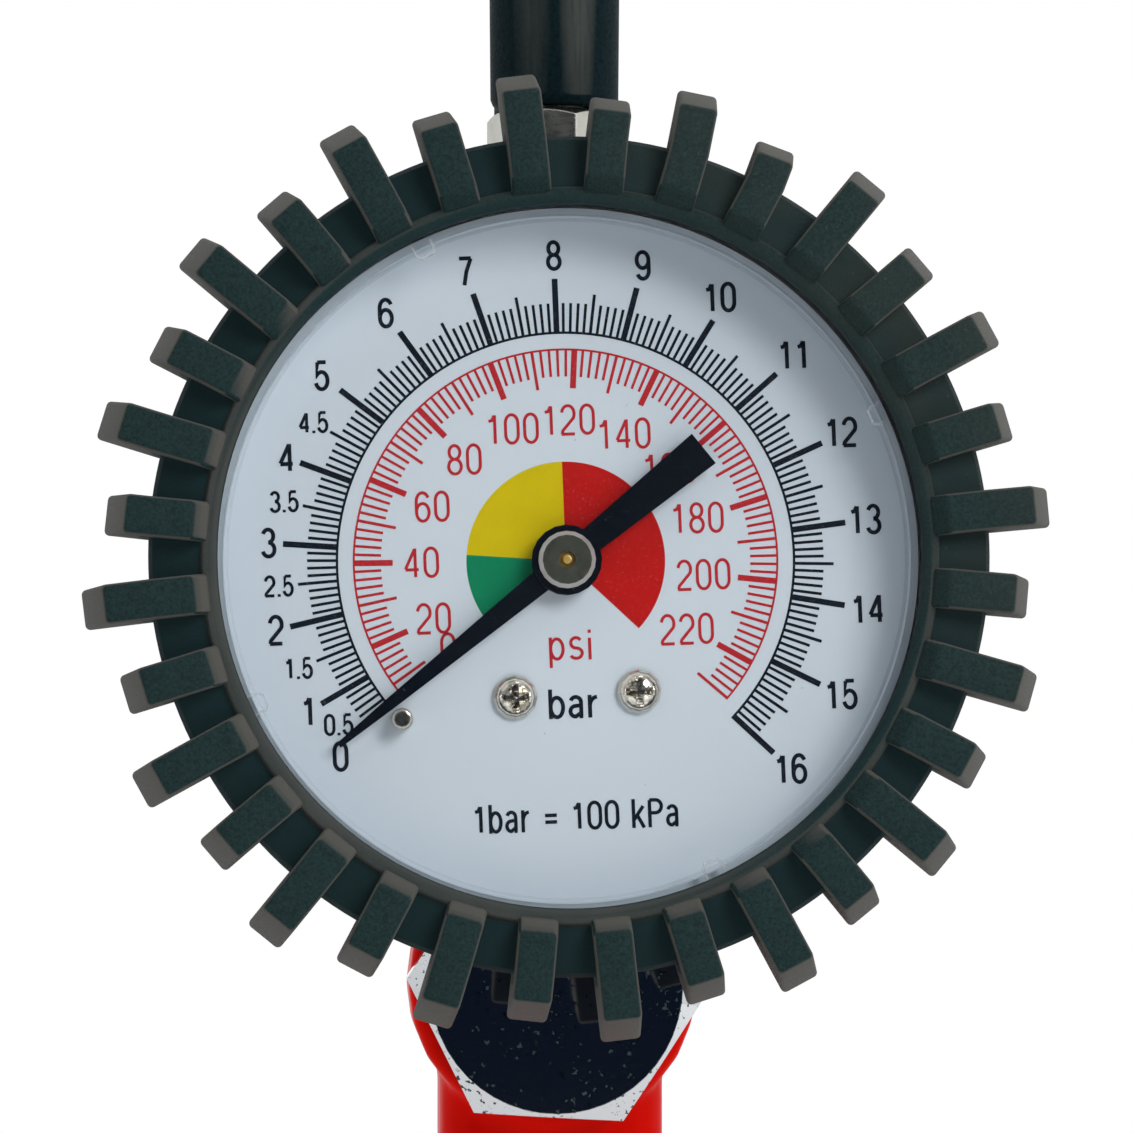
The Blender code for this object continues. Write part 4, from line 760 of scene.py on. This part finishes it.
def bar_scale():
    """The black outer scale, its numerals and the lettering below the pointer."""
    bm = bmesh.new()
    scale_arc(bm, *BAR_ARC, BAR_START, BAR_END)
    for tenth in range(round(10 * BAR_START), 10 * BAR_END + 1):
        tip, width = BAR_TICKS[tick_kind(tenth, 10)]
        tick(bm, tenth / 10, BAR_TICK_ROOT, tip, width)
    for bar in range(1, BAR_END + 1):
        radius = NUMERAL_R - CLOSER if bar < CLOSE_BAR else NUMERAL_R
        centre = polar(radius, scale_angle(bar)) + Vector(NUMERAL_SLIPS.get(bar, (0, 0)))
        lettering(bm, str(bar), centre, NUMERAL_HIGH, NUMERAL_THICK)
    for half in HALVES:
        lettering(bm, str(half), polar(SMALL_R, scale_angle(half)), SMALL_HIGH, SMALL_THICK)
    for caption in BAR_CAPTIONS:
        lettering(bm, *caption)
    piece_from(bm, "dial_print_bar", ink("ink_black", (0.003, 0.008, 0.016)), TO_DIAL)


def psi_scale():
    """The red inner scale and its numerals."""
    bm = bmesh.new()
    scale_arc(bm, *PSI_ARC, PSI_START * PSI, PSI_END * PSI)
    for psi in range(PSI_START, PSI_END + 1, PSI_EACH):
        tip, width = PSI_TICKS[tick_kind(psi, PSI_WHOLE)]
        tick(bm, psi * PSI, tip, PSI_TICK_ROOT, width)
    for psi in range(PSI_WHOLE, PSI_END, PSI_WHOLE):
        centre = polar(PSI_R, scale_angle(psi * PSI)) + PSI_SHIFT
        lettering(bm, str(psi), centre, PSI_HIGH, PSI_THICK)
    for caption in PSI_CAPTIONS:
        lettering(bm, *caption)
    piece_from(bm, "dial_print_psi", ink("ink_red", (0.50, 0.020, 0.028)), TO_DIAL)


def dial_zones():
    """The coloured sectors about the pointer."""
    for name, (start, end, colour) in ZONES.items():
        bm = bmesh.new()
        outline = [Vector((0, 0)), *scale_points(ZONE_R, start, end, ZONE_STEPS)]
        face = bm.faces.new([bm.verts.new((*point, -DIAL_FRONT + INK / 2)) for point in outline])
        grown = bmesh.ops.extrude_face_region(bm, geom=[face], use_keep_orig=True)
        moved = [part for part in grown["geom"] if isinstance(part, bmesh.types.BMVert)]
        bmesh.ops.translate(bm, verts=moved, vec=(0, 0, -INK))
        piece_from(bm, f"dial_zone_{name}", ink(f"ink_zone_{name}", colour, worn=0.10), TO_DIAL)


# --- Boot --------------------------------------------------------------------------------------


def fin(bm, angle, tip, bend):
    """One fin, its outer part bent sideways at the kink. Its outlines are of (radius, depth)."""
    inner = [(30.6, 0.2), (30.6, -1.7), (31.9, FIN_FRONT), (FIN_KINK_R, FIN_FRONT),
             (FIN_KINK_R, FIN_BACK), (33.0, FIN_BACK), (33.0, 2.0), (32.0, 0.2)]
    outer = [(FIN_KINK_R, FIN_FRONT), (tip[0], FIN_FRONT), (tip[1], FIN_BACK), (FIN_KINK_R, FIN_BACK)]
    turn = Matrix.Rotation(math.radians(angle), 3, "Z")
    lean = Matrix.Rotation(math.radians(bend), 3, "Z")
    made = {}

    def corner(radius, depth, side):
        """The fin's vertex at a corner, made when it is first asked for."""
        key = (radius, depth, side)
        if key not in made:
            share = (depth - FIN_FRONT) / (FIN_BACK - FIN_FRONT)
            half = (FIN_FRONT_WIDTH + share * (FIN_BACK_WIDTH - FIN_FRONT_WIDTH)) / 2
            point = Vector((radius - FIN_KINK_R, side * half, -depth))
            if radius > FIN_KINK_R:
                point = lean @ point
            point.x += FIN_KINK_R
            made[key] = bm.verts.new(turn @ point)
        return made[key]

    for outline in (inner, outer):
        for side in (-1, 1):
            bm.faces.new([corner(*point, side) for point in outline])
        for start, end in zip(outline, outline[1:] + outline[:1]):
            if start[0] == end[0] == FIN_KINK_R:
                continue  # the two parts are open to each other here
            bm.faces.new((corner(*start, -1), corner(*end, -1), corner(*end, 1), corner(*start, 1)))


def boot_fins(place):
    """All the fins in one piece, each a little different, with softened edges."""
    chance = random.Random(CHANCE_SEED)
    bm = bmesh.new()
    for i in range(FIN_COUNT):
        length = chance.uniform(*LENGTH_CHANCE)
        tip = [radius + length for radius in (SHORT_FIN if i % 2 else LONG_FIN)]
        bend = BENT_FINS.get(i, chance.uniform(*BEND_CHANCE))
        fin(bm, FIN_TURN + 360 * i / FIN_COUNT, tip, bend)
    bmesh.ops.recalc_face_normals(bm, faces=bm.faces)
    crisp = [edge for edge in bm.edges if edge.calc_face_angle(0) > math.radians(FIN_EDGE)]
    bmesh.ops.bevel(bm, geom=crisp, offset=FIN_SOFTNESS, segments=4, profile=0.5, affect="EDGES")
    return piece_from(bm, "boot_fins", None, place)


def boot():
    """The finned rubber boot, in place of its plain CAD shape."""
    place = TO_UPRIGHT @ Matrix.Translation(BOOT_SHIFT)
    fins = boot_fins(place)
    sleeve = bmesh.new()
    lathe(sleeve, [(radius, -depth) for radius, depth in SLEEVE], SLEEVE_SIDES)
    made = piece_from(sleeve, "finned_boot", boot_rubber(), place)
    union = made.modifiers.new("fins", "BOOLEAN")
    union.operation, union.solver, union.object = "UNION", "EXACT", fins
    apply_modifiers(made)
    bpy.data.objects.remove(fins)
    smooth(made.data, BOOT_CRISP)
    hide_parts("gauge_boot")


# --- Hose and window ---------------------------------------------------------------------------


def hose_path():
    """The hose's axis, from the body to the chuck: its points, and the angle of each about X."""
    path = []
    for i in range(HOSE_STRAIGHT_STEPS):
        height = HOSE_START + (HOSE_BEND_Z - HOSE_START) * i / HOSE_STRAIGHT_STEPS
        path.append((Vector((HOSE_X, BODY_Y, height)), 180.0))
    for i in range(HOSE_BEND_STEPS + 1):
        angle = 180 - 180 * i / HOSE_BEND_STEPS
        share = (1 + math.cos(math.radians(angle))) / 2
        centre = Vector((HOSE_X + (CHUCK_X - HOSE_X) * share, BODY_Y + HOSE_BEND_R, HOSE_BEND_Z))
        path.append((centre + HOSE_BEND_R * Vector((0, *polar(1, angle))), angle))
    far_y, steps_down = BODY_Y + 2 * HOSE_BEND_R, 2 * HOSE_STRAIGHT_STEPS
    for i in range(1, steps_down + 1):
        height = HOSE_BEND_Z + (HOSE_END - HOSE_BEND_Z) * i / steps_down
        path.append((Vector((CHUCK_X, far_y, height)), 0.0))
    for i, (distance, _) in enumerate(HOSE_TIP):
        path[i] = (Vector((HOSE_X, BODY_Y, HOSE_START + distance)), 180.0)
        path[-1 - i] = (Vector((CHUCK_X, far_y, HOSE_END + distance)), 0.0)
    return path


def hose():
    """The rubber hose as one smooth tube, drawn in a little at its ends."""
    path = hose_path()
    outside, bore = [HOSE_R] * len(path), [HOSE_BORE_R] * len(path)
    for i, (_, cut) in enumerate(HOSE_TIP):
        outside[i] = outside[-1 - i] = HOSE_R - cut
    bm = bmesh.new()
    walls = []
    for radii in (outside, bore):
        rings = []
        for (centre, angle), radius in zip(path, radii):
            inward = Vector((0, *polar(1, angle)))
            spokes = [polar(radius, 360 * k / HOSE_SIDES) for k in range(HOSE_SIDES)]
            rings.append([bm.verts.new(centre + inward * s.x + Vector((s.y, 0, 0))) for s in spokes])
        walls.append(rings)
        for low, high in zip(rings, rings[1:]):
            bridge(bm, low, high)
    for end in (0, -1):
        bridge(bm, walls[0][end], walls[1][end])
    place = Matrix.Scale(MM, 4)
    made = piece_from(bm, "air_hose", hose_rubber(), place, smooth_angle=HOSE_CRISP)
    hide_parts("hose")


def lens_tabs():
    """Small snap tabs, moulded as hollow U shapes at the window's rim."""
    material = clear_window("tab_plastic", haze=0.55)
    for i in range(TAB_COUNT):
        bm = bmesh.new()
        stroke(bm, TAB_PATH, TAB_WALL, *TAB_HEIGHTS)
        turn = Matrix.Rotation(math.radians(TAB_ANGLE + 360 * i / TAB_COUNT), 4, "Z")
        piece_from(bm, f"lens_tab_{i + 1}", material, TO_DIAL @ turn)


def lens_rim():
    """The window's skirt, which stands on the dial, and the moulded step inside its edge."""
    rings = (
        ("lens_skirt", SKIRT, skirt_plastic()),
        ("lens_step", STEP, clear_window("step_plastic", haze=0.05)),
    )
    for name, (inner, outer, front, back), material in rings:
        bm = bmesh.new()
        lathe(bm, [(inner, -front), (outer, -front), (outer, -back), (inner, -back)], RIM_STEPS)
        piece_from(bm, name, material, TO_DIAL, smooth_angle=RIM_CRISP)


# --- Pieces that take over CAD shapes ----------------------------------------------------------


def cast_body():
    """The painted casting with the soft edges and fillets that a die casting has."""
    red, rubbed, bare = (0.60, 0.003, 0.0002), (0.66, 0.027, 0.0006), (0.45, 0.44, 0.42)
    material = paint("red_paint_worn", red, rubbed, bare, roughness=0.30)
    made = copy_of("inflator_body", "painted_casting", material)
    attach(made, "root")
    remesh = made.modifiers.new("even skin", "REMESH")
    remesh.mode, remesh.voxel_size, remesh.use_smooth_shade = "VOXEL", CAST_VOXEL * MM, True
    soften = made.modifiers.new("fillets", "SMOOTH")
    soften.factor, soften.iterations = CAST_SOFTENING, CAST_PASSES
    apply_modifiers(made)
    made.data.shade_smooth()


def elastic_parts(steel, bronze):
    """Two coil springs with rounded wire, and the curved tube, in place of their CAD shapes."""
    for node_name, joint, keep in COIL_SPRINGS:
        made = copy_of(node_name, f"{node_name}_wire", steel)
        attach(made, "root")
        round_wire = made.modifiers.new("round wire", "SUBSURF")
        round_wire.levels = round_wire.render_levels = WIRE_LEVELS
        apply_modifiers(made)
        made.data.shade_smooth()
        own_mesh(made)
    tube = copy_of("bourdon_tube", "bourdon_tube_curve", bronze)
    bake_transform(tube)


# --- CAD nodes, light and camera ---------------------------------------------------------------


def paint_nodes():
    """Gives every CAD node that still shows its own finish."""
    chrome = metal("chrome_worn", (0.56, 0.56, 0.56), 0.10, size=0.5, pits=0.5)
    nickel = metal("nickel_worn", (0.80, 0.76, 0.66), 0.13, size=0.5, pits=0.9, rounding=0.25,
                   tarnish=(0.50, 0.43, 0.31))
    brass = metal("brass_turned", (0.86, 0.60, 0.18), 0.30, size=0.4, stretch=(1, 6, 6))
    bronze = metal("bronze_rolled", (0.60, 0.36, 0.20), 0.30, stretch=(6, 6, 1))
    steel = metal("pressed_steel", (0.50, 0.50, 0.51), 0.24, size=0.35, stretch=(1, 1, 12), pits=0.3)
    fitting = metal("fitting_chrome", (0.50, 0.50, 0.45), 0.24, stretch=(3, 3, 1), pits=0.4)
    seal = rubber("seal_rubber_plain", (0.018, 0.018, 0.018), roughness=0.5, speckle_size=0.3)
    elastic_parts(steel, bronze)
    by_slot = {
        "clear_plastic": clear_window("window_plastic", haze=0.003),
        "dial_paint": dial_ground(),
        "black_paint": needle_paint(),
        "black_case": dark_plastic(),
        "nickel": nickel,
        "chrome": chrome,
        "brass": brass,
        "bronze": bronze,
        "spring_steel": steel,
        "red_fibre": fibre(),
        "seal_rubber": seal,
    }
    by_node = {
        "cap_nut": cap_nut_chrome(),
        "pointer_bush": bush_metal(),
        "pointer_spindle": brass,
        "hose_fitting": fitting,
        **{name: worn_screw(name) for name in DIAL_SCREWS},
    }
    for name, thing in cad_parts.items():
        if thing.hide_render:
            continue
        slots = thing.data.materials
        for i, old in enumerate(slots):
            slots[i] = by_node.get(name) or by_slot[old.name.split(".")[0]]


def stage():
    """A pale floor under the object's foot."""
    bm = bmesh.new()
    bmesh.ops.create_circle(bm, cap_ends=True, radius=FLOOR_R, segments=FLOOR_SIDES)
    mesh = as_mesh(bm, "floor")
    mesh.materials.append(floor_paper())
    floor = add_object("floor", mesh)
    floor.location.z = CAD_BOX[0].z


def surroundings():
    """White to the eye; for reflections, a white tent with a dark opening in front of the dial."""
    world = bpy.data.worlds.new("white tent")
    bpy.context.scene.world = world
    world.use_nodes = True
    tree = world.node_tree
    ray = node(tree, "ShaderNodeTexCoord").outputs["Generated"]
    outside, inside = OPENING_EDGE
    opening = steps(tree, along(tree, ray, OPENING), (outside, 0.0), (inside, 1.0))
    tent = between(tree, along(tree, ray, TENT_BRIGHTER), -1.0, 1.0, *TENT_LEVELS)
    reflected = blend(tree, opening, tent, OPENING_COLOUR)
    seen = node(tree, "ShaderNodeLightPath").outputs["Is Camera Ray"]
    feed(tree, tree.nodes["Background"], {"Color": blend(tree, seen, reflected, WHITE)})


def turn_to(thing, target):
    """Points a lamp or a camera at a target."""
    thing.rotation_euler = (target - thing.location).to_track_quat("-Z", "Y").to_euler()


def key_light():
    """A soft square light, in front of the dial and to its upper right."""
    data = bpy.data.lights.new("key", "AREA")
    data.size, data.energy = KEY_SIZE, KEY_POWER
    made = add_object("key", data)
    made.location = KEY_DISTANCE * KEY_WAY
    turn_to(made, Vector((0, 0, 0)))


def camera():
    """Half a metre in front of the dial, a little low and to the left of it."""
    data = bpy.data.cameras.new("camera")
    data.sensor_width, data.lens = CAMERA_SENSOR, CAMERA_LENS
    data.clip_start, data.clip_end = CAMERA_RANGE
    made = add_object("camera", data)
    made.location = CAMERA_AT * MM
    turn_to(made, CAMERA_AIM * MM)
    bpy.context.scene.camera = made


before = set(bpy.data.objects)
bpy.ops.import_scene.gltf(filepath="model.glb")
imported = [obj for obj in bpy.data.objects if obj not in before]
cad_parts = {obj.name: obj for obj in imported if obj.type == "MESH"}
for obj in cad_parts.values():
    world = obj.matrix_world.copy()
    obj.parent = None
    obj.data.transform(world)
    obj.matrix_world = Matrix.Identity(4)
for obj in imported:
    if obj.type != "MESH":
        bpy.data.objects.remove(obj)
CAD_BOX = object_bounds()

bar_scale()
psi_scale()
dial_zones()
boot()
hose()
lens_tabs()
lens_rim()
cast_body()
paint_nodes()
stage()
surroundings()
key_light()
camera()
bpy.context.scene.view_settings.view_transform = "Standard"
